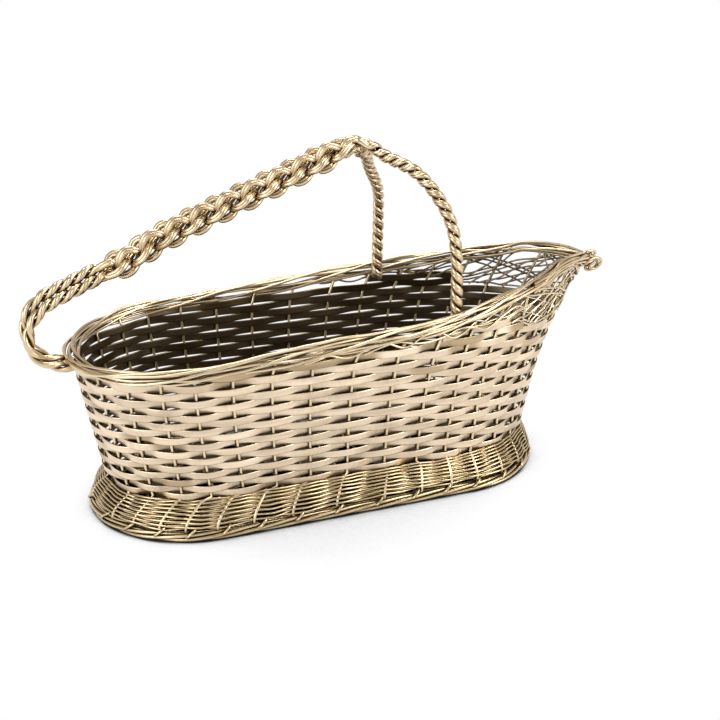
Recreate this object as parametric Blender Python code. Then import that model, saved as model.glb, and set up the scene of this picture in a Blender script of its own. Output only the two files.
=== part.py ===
"""Wine bottle basket woven from metal ribbon and wire.

A boat-shaped wall of flat ribbons woven round upright wire stakes stands on a flared wire foot.
A rope of wires edges the mouth, which rises to a pointed spout. Two wire ropes, linked through
each other along the middle, make the handle: it starts at the back end and parts into two legs
that stand on the long sides. X runs to the spout, Y across, Z up, and the foot stands on Z = 0.
"""
from collections import namedtuple
from functools import lru_cache
from math import cos, pi, radians, sin

import bmesh
import bpy
import numpy as np
from mathutils import Vector

# Clearance kept between pieces that lie on each other
GAP = 0.0003

# Waist: the plan outline where the foot ends and the ribbons start
WAIST_HEIGHT = 0.0176
WAIST_BACK = 0.1056
WAIST_FRONT = 0.1090
WAIST_WIDTH = 0.0788
WAIST_STRAIGHT = 0.0554

# Wall: how far each side leans out between the waist and the brow
BROW_HEIGHT = 0.0870
BACK_LEAN = 0.0120
SIDE_LEAN = 0.0062
FRONT_LEAN = 0.0165
PROW_SWEEP = 0.0112
BACK_STRAIGHT_GAIN = 0.0074
FRONT_STRAIGHT_LOSS = 0.0254
ROUND_POWER_SHARE = 0.5
PROW_POWER_SHARE = 0.12

# Rim: plan outline and height of the rope round the mouth
RIM_BACK = 0.1185
RIM_FRONT = 0.1455
RIM_WIDTH = 0.0912
RIM_BACK_STRAIGHT = 0.0628
RIM_FRONT_STRAIGHT = 0.0250
RIM_BACK_HEIGHT = 0.0786
RIM_RISE = 0.0110
RIM_LIFT = 0.0098
RIM_LIFT_POWER = 5
RIM_PEAK_X = 0.1180
RIM_TIP_DROP = 0.0064
RIM_WIRE = 0.0016
RIM_ROPE_OUT = 0.0018
RIM_ROPE_UP = 0.0026
RIM_STRANDS = 3
RIM_STEPS_PER_STAKE = 2

# Stakes: upright wires, bent as hairpins under the foot
STAKES = 32
STAKE_WIRE = 0.0012
STAKE_SLANT_SHARE = 0.22
STAKE_LEVELS = 3
PROW_STAKE_LEVELS = 6
PROW_STAKES = 4
STAKE_KNEE_SHARE = 0.7

# Ribbons: flat strips woven in front of one stake and behind the next
RIBBON_ROWS = 16
RIBBON_PITCH = 0.0036
RIBBON_WIDTH = 0.0032
RIBBON_THICKNESS = 0.0005
RIBBON_START = -0.0002
# First and last stake of each part row on the long sides, counted from the spout
UPPER_ROW_STAKES = ((3, 10), (4, 7))

# Foot: a flared skirt of thin wires over a roped border
HEM_HEIGHT = 0.0052
HEM_BACK = 0.1135
HEM_FRONT = 0.1123
HEM_WIDTH = 0.0948
HEM_STRAIGHT = 0.0622
# Drop below the waist and how far the skirt has spread there
FLARE_SHARES = ((0.0, 0.0), (0.5, 0.71), (1.0, 1.0))
WEAVER_WIRE = 0.0010
WEAVER_ROWS = 8
BORDER_WIRE = 0.0018
BORDER_ROPE_RADIUS = 0.00105
BORDER_TURNS = 16
BORDER_STEPS_PER_TURN = 4
RING_WIDTH = 0.0022
RING_HEIGHT = 0.0024
RING_FLAT_SHARE = 0.5
RING_SECTIONS = 32

# Floor: a wire laid to and fro, with slats woven through it lengthwise
FLOOR_HEIGHT = 0.0120
FLOOR_WIRE = 0.0014
FLOOR_PASSES = 13
FLOOR_PITCH = 0.0155
FLOOR_BEND = 0.0025
FLOOR_SLOPE = 2.0
SLATS = 5
SLAT_PITCH = 0.0110
SLAT_WIDTH = 0.0090
SLAT_THICKNESS = 0.0006

# Spout web and curls
WEB_WIRE = 0.0009
WEB_STAKES = 3.5
WEB_STEPS = 14
ZIGZAG_SHARES = (1.0, 0.5, 0.0, 0.5)
CURL_WIRE = 0.0012
CURL_RADIUS = 0.0025
CURL_STEPS = 10
CURL_ARC = radians(300)

# Handle: the middle line in side view, as shares of its reach and height
HANDLE_BACK_LENGTH = 0.1336
HANDLE_TOP = 0.1610
HANDLE_SHARES = (
    (-0.916, 0.484), (-0.945, 0.488), (-0.983, 0.513), (-1.000, 0.550), (-0.994, 0.603),
    (-0.943, 0.652), (-0.850, 0.686), (-0.754, 0.717), (-0.659, 0.741), (-0.545, 0.792),
    (-0.359, 0.852), (-0.201, 0.900), (-0.064, 0.941), (0.083, 0.988), (0.135, 1.000))
# Each leg: forward from the apex, out to the side and up from its lower end
LEG_FORWARD = 0.0323
LEG_SIDE = 0.0353
LEG_SKEW = 0.0040
LEG_END_HEIGHT = 0.0840
LEG_SHARES = (
    (0.37, 0.10, 0.935), (0.66, 0.49, 0.850), (0.89, 0.80, 0.665), (0.97, 0.96, 0.440),
    (1.00, 1.00, 0.000))
HANDLE_WIRE = 0.0020
ROPE_RADIUS = 0.0016
ROPE_SPACING = 0.0056
LINK_RADIUS = 0.0037
LINK_SPACING = 0.0042
LINK_TILT = radians(125)
ROPE_TURNS = 6.5
LINK_TURNS = 8
LEG_TURNS = 8
TURN_STEPS = 8
LINK_END_SHARE = 0.97
# Turns over which the ropes come apart past the link, and when in a turn they swap order
PARTING_TURNS = 2.5
SWAP_SHARES = (1 / 6, 1 / 3)

OUTLINE_STEPS = 720
ROUTE_STEPS = 24
TANGENT_SHARE = 0.002
CLIMB_STEP = 0.0005

Plan = namedtuple("Plan", "back front half_width back_straight front_straight power")


def clear_scene():
    for item in list(bpy.data.objects):
        bpy.data.objects.remove(item, do_unlink=True)


def metal(name, colour, roughness):
    material = bpy.data.materials.new(name)
    material.use_nodes = True
    shader = material.node_tree.nodes["Principled BSDF"]
    shader.inputs["Base Color"].default_value = (*colour, 1.0)
    shader.inputs["Roughness"].default_value = roughness
    shader.inputs["Metallic"].default_value = 1.0
    material.diffuse_color = (*colour, 1.0)
    return material


@lru_cache(maxsize=None)
def outline(plan):
    """Points of a plan outline and their shares of its length, anticlockwise from the tip."""
    turn = np.linspace(0.0, 2.0 * pi, OUTLINE_STEPS + 1)
    c = np.cos(turn)
    s = np.sin(turn)
    front_x = plan.front_straight + (plan.front - plan.front_straight) * c
    back_x = -plan.back_straight + (plan.back - plan.back_straight) * c
    front_y = plan.half_width * np.sign(s) * np.abs(s) ** (2.0 * plan.power)
    x = np.where(c >= 0.0, front_x, back_x)
    y = np.where(c >= 0.0, front_y, plan.half_width * s)
    length = np.concatenate([[0.0], np.cumsum(np.hypot(np.diff(x), np.diff(y)))])
    return x, y, length / length[-1]


def on_outline(plan, share, out=0.0):
    """X and Y on a plan outline at a share of its length, moved out along its normal."""
    x, y, shares = outline(plan)

    def at(place):
        place = place % 1.0
        return np.array([np.interp(place, shares, x), np.interp(place, shares, y)])

    along = at(share + TANGENT_SHARE) - at(share - TANGENT_SHARE)
    along = along / np.hypot(*along)
    point = at(share) + out * np.array([along[1], -along[0]])
    return float(point[0]), float(point[1])


def wall_plan(z):
    """Plan of the ribbon wall: it leans out as it rises and sweeps forward into the prow."""
    rise = (z - WAIST_HEIGHT) / (BROW_HEIGHT - WAIST_HEIGHT)
    return Plan(
        WAIST_BACK + BACK_LEAN * rise,
        WAIST_FRONT + FRONT_LEAN * rise + PROW_SWEEP * rise ** 3,
        WAIST_WIDTH / 2 + SIDE_LEAN * rise,
        WAIST_STRAIGHT + BACK_STRAIGHT_GAIN * rise,
        WAIST_STRAIGHT - FRONT_STRAIGHT_LOSS * rise,
        ROUND_POWER_SHARE + PROW_POWER_SHARE * rise)


def flare_share(z):
    """How far the skirt has spread at a height: 0 at the waist, 1 at the hem."""
    drop = (WAIST_HEIGHT - z) / (WAIST_HEIGHT - HEM_HEIGHT)
    return float(np.interp(drop, *zip(*FLARE_SHARES)))


def foot_plan(z):
    flare = flare_share(z)
    return Plan(
        WAIST_BACK + (HEM_BACK - WAIST_BACK) * flare,
        WAIST_FRONT + (HEM_FRONT - WAIST_FRONT) * flare,
        (WAIST_WIDTH + (HEM_WIDTH - WAIST_WIDTH) * flare) / 2,
        WAIST_STRAIGHT + (HEM_STRAIGHT - WAIST_STRAIGHT) * flare,
        WAIST_STRAIGHT + (HEM_STRAIGHT - WAIST_STRAIGHT) * flare,
        ROUND_POWER_SHARE)


RIM_PLAN = Plan(RIM_BACK, RIM_FRONT, RIM_WIDTH / 2, RIM_BACK_STRAIGHT, RIM_FRONT_STRAIGHT, 1.0)


def wall_point(share, z, out=0.0):
    """A point of the stakes' surface, on the wall above the waist and on the skirt below it."""
    plan = wall_plan(z) if z >= WAIST_HEIGHT else foot_plan(z)
    return Vector((*on_outline(plan, share, out), z))


def rim_height(x):
    """Height of the rim: it climbs to a peak before the tip and drops a little at the tip."""
    along = (x + RIM_BACK) / (RIM_PEAK_X + RIM_BACK)
    height = RIM_BACK_HEIGHT + RIM_RISE * min(along, 1.0) + RIM_LIFT * min(along, 1.0) ** RIM_LIFT_POWER
    past = max(0.0, (x - RIM_PEAK_X) / (RIM_FRONT - RIM_PEAK_X))
    return height - RIM_TIP_DROP * past ** 2


def rim_point(share, out=0.0, up=0.0):
    x, y = on_outline(RIM_PLAN, share)
    height = rim_height(x)
    return Vector((*on_outline(RIM_PLAN, share, out), height + up))


RIBBON_TOP = WAIST_HEIGHT + RIBBON_START + RIBBON_ROWS * RIBBON_PITCH
RIM_UNDERSIDE = RIM_ROPE_UP + RIM_WIRE / 2 + GAP


def upper_point(share, climb, out=0.0):
    """A point between the ribbons' top edge (climb 0) and the rim's middle line (climb 1)."""
    foot = wall_point(share, RIBBON_TOP, out)
    return foot.lerp(rim_point(share, out), climb)


def height_between(share, z):
    """The climb share at which the upper wall reaches a height."""
    foot = wall_point(share, RIBBON_TOP).z
    return (z - foot) / (rim_point(share).z - foot)


def off_surface(place, share, z, out):
    """A point off a surface given by share and height, moved out square to it."""
    climb = place(share, z + CLIMB_STEP) - place(share, z - CLIMB_STEP)
    onward = place(share + TANGENT_SHARE, z) - place(share - TANGENT_SHARE, z)
    return place(share, z) + out * onward.cross(climb).normalized()


def wire(name, points, diameter, material, closed=False):
    """A round wire along a list of points."""
    curve = bpy.data.curves.new(name, "CURVE")
    curve.dimensions = "3D"
    curve.bevel_depth = diameter / 2
    curve.bevel_resolution = 0
    curve.use_fill_caps = True
    spline = curve.splines.new("POLY")
    spline.points.add(len(points) - 1)
    for place, point in zip(spline.points, points):
        place.co = (*point, 1.0)
    spline.use_cyclic_u = closed
    curve.materials.append(material)
    item = bpy.data.objects.new(name, curve)
    bpy.context.collection.objects.link(item)
    return item


def loft(name, sections, material, closed):
    """A solid strip or ring skinned over equal sections, capped at its ends when open."""
    mesh = bpy.data.meshes.new(name)
    shape = bmesh.new()
    rings = [[shape.verts.new(corner) for corner in section] for section in sections]
    corners = len(rings[0])
    pairs = list(zip(rings, rings[1:]))
    if closed:
        pairs.append((rings[-1], rings[0]))
    for ring, following in pairs:
        for i in range(corners):
            j = (i + 1) % corners
            shape.faces.new((ring[i], ring[j], following[j], following[i]))
    if not closed:
        shape.faces.new(rings[0])
        shape.faces.new(rings[-1])
    bmesh.ops.recalc_face_normals(shape, faces=shape.faces)
    shape.to_mesh(mesh)
    shape.free()
    mesh.materials.append(material)
    item = bpy.data.objects.new(name, mesh)
    bpy.context.collection.objects.link(item)
    return item


# A strip clears the stake it passes by half of both and the gap
CRIMP = STAKE_WIRE / 2 + RIBBON_THICKNESS / 2 + GAP * 1.5


def weave_side(stake, row):
    """+1 where a row passes outside a stake, -1 where it passes inside."""
    return 1 if (stake + row) % 2 == 0 else -1


def ribbon_section(place, share, low, high, side):
    """Four corners of a ribbon's section between its two edges."""
    outer = side * CRIMP + RIBBON_THICKNESS / 2
    inner = side * CRIMP - RIBBON_THICKNESS / 2
    return [place(share, low, inner), place(share, low, outer),
            place(share, high, outer), place(share, high, inner)]


def build_ribbons(material):
    for row in range(RIBBON_ROWS):
        low = WAIST_HEIGHT + RIBBON_START + row * RIBBON_PITCH
        high = low + RIBBON_WIDTH
        sections = [ribbon_section(wall_point, stake / STAKES, low, high, weave_side(stake, row))
                    for stake in range(STAKES)]
        loft(f"ribbon_{row + 1:02d}", sections, material, closed=True)


def build_upper_ribbons(material):
    """Two part rows on each long side, where the rim has climbed clear of the full rows."""

    def place(share, z, out):
        return upper_point(share, height_between(share, z), out)

    for extra, (first, last) in enumerate(UPPER_ROW_STAKES):
        row = RIBBON_ROWS + extra
        low = WAIST_HEIGHT + RIBBON_START + row * RIBBON_PITCH
        high = low + RIBBON_WIDTH
        for side_name, sign in (("far", 1), ("near", -1)):
            stakes = [sign * stake for stake in range(first, last + 1)]
            sections = [ribbon_section(place, stake / STAKES, low, high, weave_side(stake, row))
                        for stake in stakes]
            loft(f"upper_ribbon_{side_name}_{extra + 1}", sections, material, closed=False)


# The wires of the foot: stakes stand behind the border rope and in front of the ground ring
BORDER_ROPE = 2 * BORDER_ROPE_RADIUS + BORDER_WIRE
BORDER_MIDDLE = BORDER_ROPE / 2 + GAP
STAKE_TUCK = BORDER_ROPE / 2 + STAKE_WIRE / 2 + GAP
RING_TUCK = STAKE_TUCK + STAKE_WIRE / 2 + RING_WIDTH / 2 + 2 * GAP
STAKE_KNEE = STAKE_WIRE * STAKE_KNEE_SHARE
STAKE_FOOT = STAKE_WIRE


def skirt_share(stake, z):
    """Share of a stake on the skirt, where the stakes slant round the foot."""
    return (stake - STAKE_SLANT_SHARE * flare_share(z)) / STAKES


def stake_points(stake):
    """One stake from under the rim down to its bend inside the foot."""
    share = stake / STAKES
    top = rim_point(share).z - RIM_UNDERSIDE - STAKE_WIRE / 2
    steps = PROW_STAKE_LEVELS if min(stake, STAKES - stake) <= PROW_STAKES else STAKE_LEVELS
    points = []
    if top > RIBBON_TOP + STAKE_WIRE:
        points.append(upper_point(share, height_between(share, top)))
    for level in np.linspace(min(top, RIBBON_TOP), WAIST_HEIGHT, steps):
        points.append(wall_point(share, level))
    for drop, _ in FLARE_SHARES[1:]:
        level = WAIST_HEIGHT - drop * (WAIST_HEIGHT - HEM_HEIGHT)
        points.append(wall_point(skirt_share(stake, level), level))
    last = skirt_share(stake, HEM_HEIGHT)
    points.append(foot_point(last, HEM_HEIGHT - STAKE_KNEE, -STAKE_TUCK))
    points.append(foot_point(last, STAKE_FOOT, -STAKE_TUCK))
    return points


def foot_point(share, z, out):
    """A point below the hem, placed from the hem's outline."""
    return Vector((*on_outline(foot_plan(HEM_HEIGHT), share, out), z))


def build_stakes(material):
    """Each wire makes two neighbouring stakes, with its bend inside the foot."""
    for pair in range(STAKES // 2):
        first = stake_points(2 * pair)
        second = stake_points(2 * pair + 1)
        bend = foot_point(skirt_share(2 * pair + 0.5, HEM_HEIGHT), STAKE_FOOT, -STAKE_TUCK)
        wire(f"stake_pair_{pair + 1:02d}", first + [bend] + second[::-1], STAKE_WIRE, material)


def build_rim(material):
    """Three wires laid as a flattened rope, one turn to every two stakes."""
    steps = STAKES * RIM_STEPS_PER_STAKE
    for strand in range(RIM_STRANDS):
        points = []
        for step in range(steps):
            phase = pi * step / RIM_STEPS_PER_STAKE + 2 * pi * strand / RIM_STRANDS
            points.append(rim_point(step / steps, RIM_ROPE_OUT * cos(phase), RIM_ROPE_UP * sin(phase)))
        wire(f"rim_strand_{'abc'[strand]}", points, RIM_WIRE, material, closed=True)


def rows_top(stake):
    """Top edge of the highest ribbon at a place counted in stakes from the tip."""
    rows = RIBBON_ROWS
    for first, last in UPPER_ROW_STAKES:
        if first - 1 < stake < last + 1:
            rows += 1
    return RIBBON_TOP + (rows - RIBBON_ROWS) * RIBBON_PITCH


def build_web(material):
    """Two zigzag wires that close the spout between ribbons and rim, one on each side of the stakes."""
    out = STAKE_WIRE / 2 + WEB_WIRE / 2 + GAP
    margin = WEB_WIRE / 2 + GAP

    def place(share, z):
        return upper_point(share, height_between(share, z))

    for name, side, start in (("outer", 1, 0), ("inner", -1, 2)):
        points = []
        for step in range(2 * WEB_STEPS + 1):
            share = WEB_STAKES * (1 - step / WEB_STEPS) / STAKES
            low = rows_top(abs(share) * STAKES) + margin
            high = rim_point(share).z - RIM_UNDERSIDE - WEB_WIRE / 2
            rise = ZIGZAG_SHARES[(step + start) % len(ZIGZAG_SHARES)]
            points.append(off_surface(place, share, low + (high - low) * rise, side * out))
        wire(f"spout_web_{name}", points, WEB_WIRE, material)


def build_curls(material):
    """The rim's wire ends, curled above and before the tip of the spout."""
    reach = RIM_WIRE / 2 + GAP + CURL_WIRE / 2 + CURL_RADIUS
    front = rim_point(0.0) + Vector((RIM_ROPE_OUT, 0.0, 0.0))
    turn = 2 * pi / RIM_STRANDS
    top = rim_point(0.0) + Vector((RIM_ROPE_OUT * cos(turn), 0.0, RIM_ROPE_UP * sin(turn)))
    above = top + Vector((0.0, 0.0, reach))
    before = front + Vector((reach, 0.0, 0.0))
    for name, centre, start in (("upper", above, -pi / 2), ("lower", before, pi)):
        points = []
        for step in range(CURL_STEPS + 1):
            turn = start - CURL_ARC * step / CURL_STEPS
            points.append(centre + CURL_RADIUS * Vector((cos(turn), 0.0, sin(turn))))
        wire(f"spout_curl_{name}", points, CURL_WIRE, material)


def build_foot_weavers(material):
    """Two wires chase each other up the skirt, one outside the stakes that the other is inside."""
    out = STAKE_WIRE / 2 + WEAVER_WIRE / 2 + GAP
    low = HEM_HEIGHT + WEAVER_WIRE / 2 + 2 * GAP
    high = WAIST_HEIGHT + RIBBON_START - WEAVER_WIRE / 2 - 2 * GAP
    turns = WEAVER_ROWS / 2
    steps = int(turns * STAKES)

    def place(share, z):
        return wall_point(skirt_share(share * STAKES, z), z)

    for weaver, name in enumerate("ab"):
        points = []
        for step in range(steps + 1):
            height = low + (high - low) * step / steps
            stake = step + weaver * STAKES // 2
            points.append(off_surface(place, stake / STAKES, height, weave_side(stake, weaver) * out))
        wire(f"foot_weaver_{name}", points, WEAVER_WIRE, material)


def build_border(material):
    """A two-strand rope along the outer edge of the foot, resting by the ground ring."""
    steps = BORDER_TURNS * BORDER_STEPS_PER_TURN
    for strand, name in enumerate("ab"):
        points = []
        for step in range(steps):
            phase = 2 * pi * step / BORDER_STEPS_PER_TURN + pi * strand
            out = BORDER_ROPE_RADIUS * cos(phase)
            up = BORDER_ROPE_RADIUS * sin(phase)
            points.append(foot_point(step / steps, BORDER_MIDDLE + up, out))
        wire(f"foot_border_{name}", points, BORDER_WIRE, material, closed=True)


def build_ground_ring(material):
    """The ring the basket stands on, with a flat underside."""
    half = RING_WIDTH / 2
    flat = half * RING_FLAT_SHARE
    profile = ((-flat, 0.0), (flat, 0.0), (half, RING_HEIGHT / 2),
               (flat, RING_HEIGHT), (-flat, RING_HEIGHT), (-half, RING_HEIGHT / 2))
    sections = []
    for step in range(RING_SECTIONS):
        share = step / RING_SECTIONS
        sections.append([foot_point(share, up, out - RING_TUCK) for out, up in profile])
    loft("foot_ground_ring", sections, material, closed=True)


def floor_half_width(x):
    """Half the width of the floor at a place along it, clear of the skirt's weavers."""
    inset = STAKE_WIRE / 2 + (WEAVER_WIRE + GAP) * FLOOR_SLOPE + FLOOR_WIRE / 2
    xs, ys, _ = outline(foot_plan(FLOOR_HEIGHT))
    far = ys >= 0.0
    order = np.argsort(xs[far])
    return float(np.interp(x, xs[far][order], ys[far][order])) - inset


def pass_x(number):
    return (number - (FLOOR_PASSES - 1) / 2) * FLOOR_PITCH + (WAIST_FRONT - WAIST_BACK) / 2


def build_floor(wire_material, slat_material):
    points = []
    for number in range(FLOOR_PASSES):
        x = pass_x(number)
        reach = floor_half_width(x)
        sign = 1 if number % 2 else -1
        if number > 0:
            points.append(Vector((x - FLOOR_BEND, -sign * reach, FLOOR_HEIGHT)))
        points.append(Vector((x, -sign * (reach - FLOOR_BEND), FLOOR_HEIGHT)))
        points.append(Vector((x, sign * (reach - FLOOR_BEND), FLOOR_HEIGHT)))
        if number < FLOOR_PASSES - 1:
            following = floor_half_width(pass_x(number + 1))
            points.append(Vector((x + FLOOR_BEND, sign * min(reach, following), FLOOR_HEIGHT)))
    wire("floor_wire", points, FLOOR_WIRE, wire_material)

    rise = FLOOR_WIRE / 2 + SLAT_THICKNESS / 2 + GAP
    for slat in range(SLATS):
        y = (slat - (SLATS - 1) / 2) * SLAT_PITCH
        reach = abs(y) + SLAT_WIDTH / 2 + FLOOR_BEND
        crossed = [n for n in range(FLOOR_PASSES) if floor_half_width(pass_x(n)) > reach]
        sections = []
        for number in crossed:
            middle = FLOOR_HEIGHT + weave_side(number, slat) * rise
            low = middle - SLAT_THICKNESS / 2
            high = middle + SLAT_THICKNESS / 2
            left = y - SLAT_WIDTH / 2
            right = y + SLAT_WIDTH / 2
            x = pass_x(number)
            sections.append([Vector((x, left, low)), Vector((x, right, low)),
                             Vector((x, right, high)), Vector((x, left, high))])
        loft(f"floor_slat_{slat + 1}", sections, slat_material, closed=False)


def smooth_route(knots):
    """A dense smooth line through hand-set points, with its length shares."""
    ends = [knots[0] * 2 - knots[1]] + knots + [knots[-1] * 2 - knots[-2]]
    points = []
    for a, b, c, d in zip(ends, ends[1:], ends[2:], ends[3:]):
        for step in range(ROUTE_STEPS):
            t = step / ROUTE_STEPS
            points.append(0.5 * ((2 * b) + (c - a) * t + (2 * a - 5 * b + 4 * c - d) * t ** 2
                                 + (3 * b - a - 3 * c + d) * t ** 3))
    points.append(knots[-1])
    dense = np.array([tuple(point) for point in points])
    length = np.concatenate([[0.0], np.cumsum(np.linalg.norm(np.diff(dense, axis=0), axis=1))])
    return dense, length


def on_route(route, distance):
    dense, length = route
    return Vector([float(np.interp(distance, length, dense[:, axis])) for axis in range(3)])


def arch_knots():
    """Points of the handle's middle line from the back end up to the apex."""
    return [Vector((x * HANDLE_BACK_LENGTH, 0.0, z * HANDLE_TOP)) for x, z in HANDLE_SHARES]


def handle_route(side):
    """The middle line of the handle, up to the apex and down one leg."""
    knots = arch_knots()
    apex = knots[-1]
    drop = HANDLE_TOP - LEG_END_HEIGHT
    for forward, out, up in LEG_SHARES:
        x = apex.x + forward * LEG_FORWARD - side * out * LEG_SKEW
        knots.append(Vector((x, side * out * LEG_SIDE, LEG_END_HEIGHT + up * drop)))
    return smooth_route(knots)


def blend(value):
    value = min(max(value, 0.0), 1.0)
    return value * value * (3 - 2 * value)


def handle_strand(side, strand):
    """One wire of one rope: it twists, swells where the ropes are linked and follows its leg."""
    route = handle_route(side)
    total = route[1][-1]
    arch = smooth_route(arch_knots())[1][-1]
    link_end = arch * LINK_END_SHARE
    link_start = link_end * ROPE_TURNS / (ROPE_TURNS + LINK_TURNS)
    turns = ROPE_TURNS + LINK_TURNS + LEG_TURNS
    points = []
    for step in range(int(turns * TURN_STEPS) + 1):
        turn = step / TURN_STEPS
        distance = float(np.interp(turn, (0.0, ROPE_TURNS, ROPE_TURNS + LINK_TURNS, turns),
                                   (0.0, link_start, link_end, total)))
        # The ropes swap order between one third and two thirds of a half turn
        joining = np.interp(turn - ROPE_TURNS, SWAP_SHARES, (0.0, 1.0))
        parting = np.interp(turn - ROPE_TURNS - LINK_TURNS + 0.5, SWAP_SHARES, (0.0, 1.0))
        linked = joining * (1 - parting)
        radius = ROPE_RADIUS + (LINK_RADIUS - ROPE_RADIUS) * linked
        spacing = ROPE_SPACING + (LINK_SPACING - ROPE_SPACING) * linked
        # Past the link the ropes come side by side and the leg's own line takes them apart
        turned = blend((turn - ROPE_TURNS - LINK_TURNS + 1) / PARTING_TURNS)
        tilt = LINK_TILT * (1 - turned)
        middle = on_route(route, distance)
        ahead = on_route(route, min(distance + ROPE_RADIUS, total))
        behind = on_route(route, max(distance - ROPE_RADIUS, 0.0))
        along = (ahead - behind).normalized()
        across = Vector((0.0, 1.0, 0.0))
        across = (across - along * across.dot(along)).normalized()
        over = along.cross(across) * -1
        apart = across * cos(tilt) + over * sin(tilt)
        third = along.cross(apart)
        # Each rope is laid left-handed
        phase = pi * strand - 2 * pi * turn
        points.append(middle + apart * (side * spacing / 2 + radius * cos(phase))
                      + third * radius * sin(phase))
    return points


def build_handle(material):
    for side_name, side in (("far", 1), ("near", -1)):
        for strand, name in enumerate("ab"):
            wire(f"handle_{side_name}_strand_{name}", handle_strand(side, strand), HANDLE_WIRE, material)


def centre_on_origin():
    """Moves every piece alike, so that the origin is under the middle of the whole basket."""
    bpy.context.view_layer.update()
    graph = bpy.context.evaluated_depsgraph_get()
    pieces = list(bpy.context.collection.objects)
    corners = []
    for item in pieces:
        mesh = item.evaluated_get(graph).to_mesh()
        corners.append(np.array([tuple(vertex.co) for vertex in mesh.vertices]))
        item.evaluated_get(graph).to_mesh_clear()
    corners = np.concatenate(corners)
    middle = (corners.min(axis=0) + corners.max(axis=0)) / 2
    for item in pieces:
        item.location = (-middle[0], -middle[1], 0.0)


def main():
    clear_scene()
    ribbon_metal = metal("ribbon_metal", (0.72, 0.58, 0.43), 0.42)
    rim_metal = metal("rim_metal", (0.62, 0.51, 0.34), 0.28)
    stake_metal = metal("stake_metal", (0.66, 0.54, 0.38), 0.35)
    foot_metal = metal("foot_metal", (0.45, 0.38, 0.22), 0.33)
    handle_metal = metal("handle_metal", (0.60, 0.49, 0.31), 0.25)
    build_ribbons(ribbon_metal)
    build_upper_ribbons(ribbon_metal)
    build_stakes(stake_metal)
    build_rim(rim_metal)
    build_web(rim_metal)
    build_curls(rim_metal)
    build_foot_weavers(foot_metal)
    build_border(foot_metal)
    build_ground_ring(foot_metal)
    build_floor(foot_metal, ribbon_metal)
    build_handle(handle_metal)
    centre_on_origin()


main()
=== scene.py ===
"""Looks of the wine bottle basket.

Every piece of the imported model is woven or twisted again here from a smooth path: flat ribbons round
upright stakes, thin wires round the foot, a loose rope round the mouth, a mesh of thin wire under the
spout and a handle of two linked ropes. Paths are edge meshes; Geometry Nodes lay them over and under,
lay them into ropes and sweep a profile along them.
"""

from collections import namedtuple
from functools import lru_cache
from math import atan2, cos, exp, pi, radians, sin

import bpy
import numpy as np
from mathutils import Matrix, Vector


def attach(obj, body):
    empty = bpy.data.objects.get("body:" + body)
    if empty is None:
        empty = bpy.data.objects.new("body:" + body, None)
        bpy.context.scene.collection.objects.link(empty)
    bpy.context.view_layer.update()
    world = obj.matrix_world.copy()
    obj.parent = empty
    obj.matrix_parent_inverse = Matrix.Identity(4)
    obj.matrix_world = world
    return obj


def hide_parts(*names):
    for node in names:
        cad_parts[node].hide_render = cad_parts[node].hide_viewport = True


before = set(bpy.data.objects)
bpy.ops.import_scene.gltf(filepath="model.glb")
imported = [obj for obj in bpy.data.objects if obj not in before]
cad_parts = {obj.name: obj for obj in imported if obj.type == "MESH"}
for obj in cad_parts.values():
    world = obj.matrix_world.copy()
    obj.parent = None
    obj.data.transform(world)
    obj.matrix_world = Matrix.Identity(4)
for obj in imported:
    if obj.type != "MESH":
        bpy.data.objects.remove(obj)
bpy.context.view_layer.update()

# The middle of the foot stands this far behind the middle of the whole basket
FOOT_X = -0.00808

# Waist: the plan outline where the foot ends and the ribbons start
WAIST_HEIGHT = 0.0176
WAIST_BACK = 0.1056
WAIST_FRONT = 0.1090
WAIST_WIDTH = 0.0788
WAIST_STRAIGHT = 0.0554

# Wall: how far each side leans out between the waist and the brow
BROW_HEIGHT = 0.0870
BACK_LEAN = 0.0120
SIDE_LEAN = 0.0062
FRONT_LEAN = 0.0165
PROW_SWEEP = 0.0112
BACK_STRAIGHT_GAIN = 0.0074
FRONT_STRAIGHT_LOSS = 0.0254
ROUND_POWER = 0.5
PROW_POWER = 0.12

# Rim: plan outline and height of the rope round the mouth
RIM_BACK = 0.1185
RIM_FRONT = 0.1455
RIM_WIDTH = 0.0912
RIM_BACK_STRAIGHT = 0.0628
RIM_FRONT_STRAIGHT = 0.0250
RIM_BACK_HEIGHT = 0.0786
RIM_RISE = 0.0110
RIM_LIFT = 0.0098
RIM_LIFT_POWER = 5
RIM_PEAK_X = 0.1180
RIM_TIP_DROP = 0.0064

# Foot: plan outline of the hem and how the skirt spreads on its way down to it
HEM_HEIGHT = 0.0052
HEM_BACK = 0.1135
HEM_FRONT = 0.1123
HEM_WIDTH = 0.0948
HEM_STRAIGHT = 0.0622

STAKES = 32
STAKE_SLANT = 0.22
# Where the stakes of the near side stand, from the back end to the tip, in even spacings
STAKE_PLACES = (16.0, 17.2, 18.05, 18.93, 19.76, 20.7, 21.72, 22.77, 23.91, 25.1, 26.15, 27.1, 28.0, 28.95,
                29.85, 30.85, 32.0)
STAKE_WIRE = 0.00145
RIBBON_ROWS = 16
RIBBON_PITCH = 0.0037
RIBBON_START = -0.0002
RIBBON_MIDDLE = 0.0013
RIBBON_WIDTH = 0.00378
RIBBON_THICKNESS = 0.0004
CRIMP = 0.00105
UPPER_ROW_STAKES = ((3, 12), (3, 6))

OUTLINE_STEPS = 720
TANGENT_SHARE = 0.002
CLIMB_STEP = 0.0005

Plan = namedtuple("Plan", "back front half_width back_straight front_straight power")


# Shape of the basket


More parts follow.
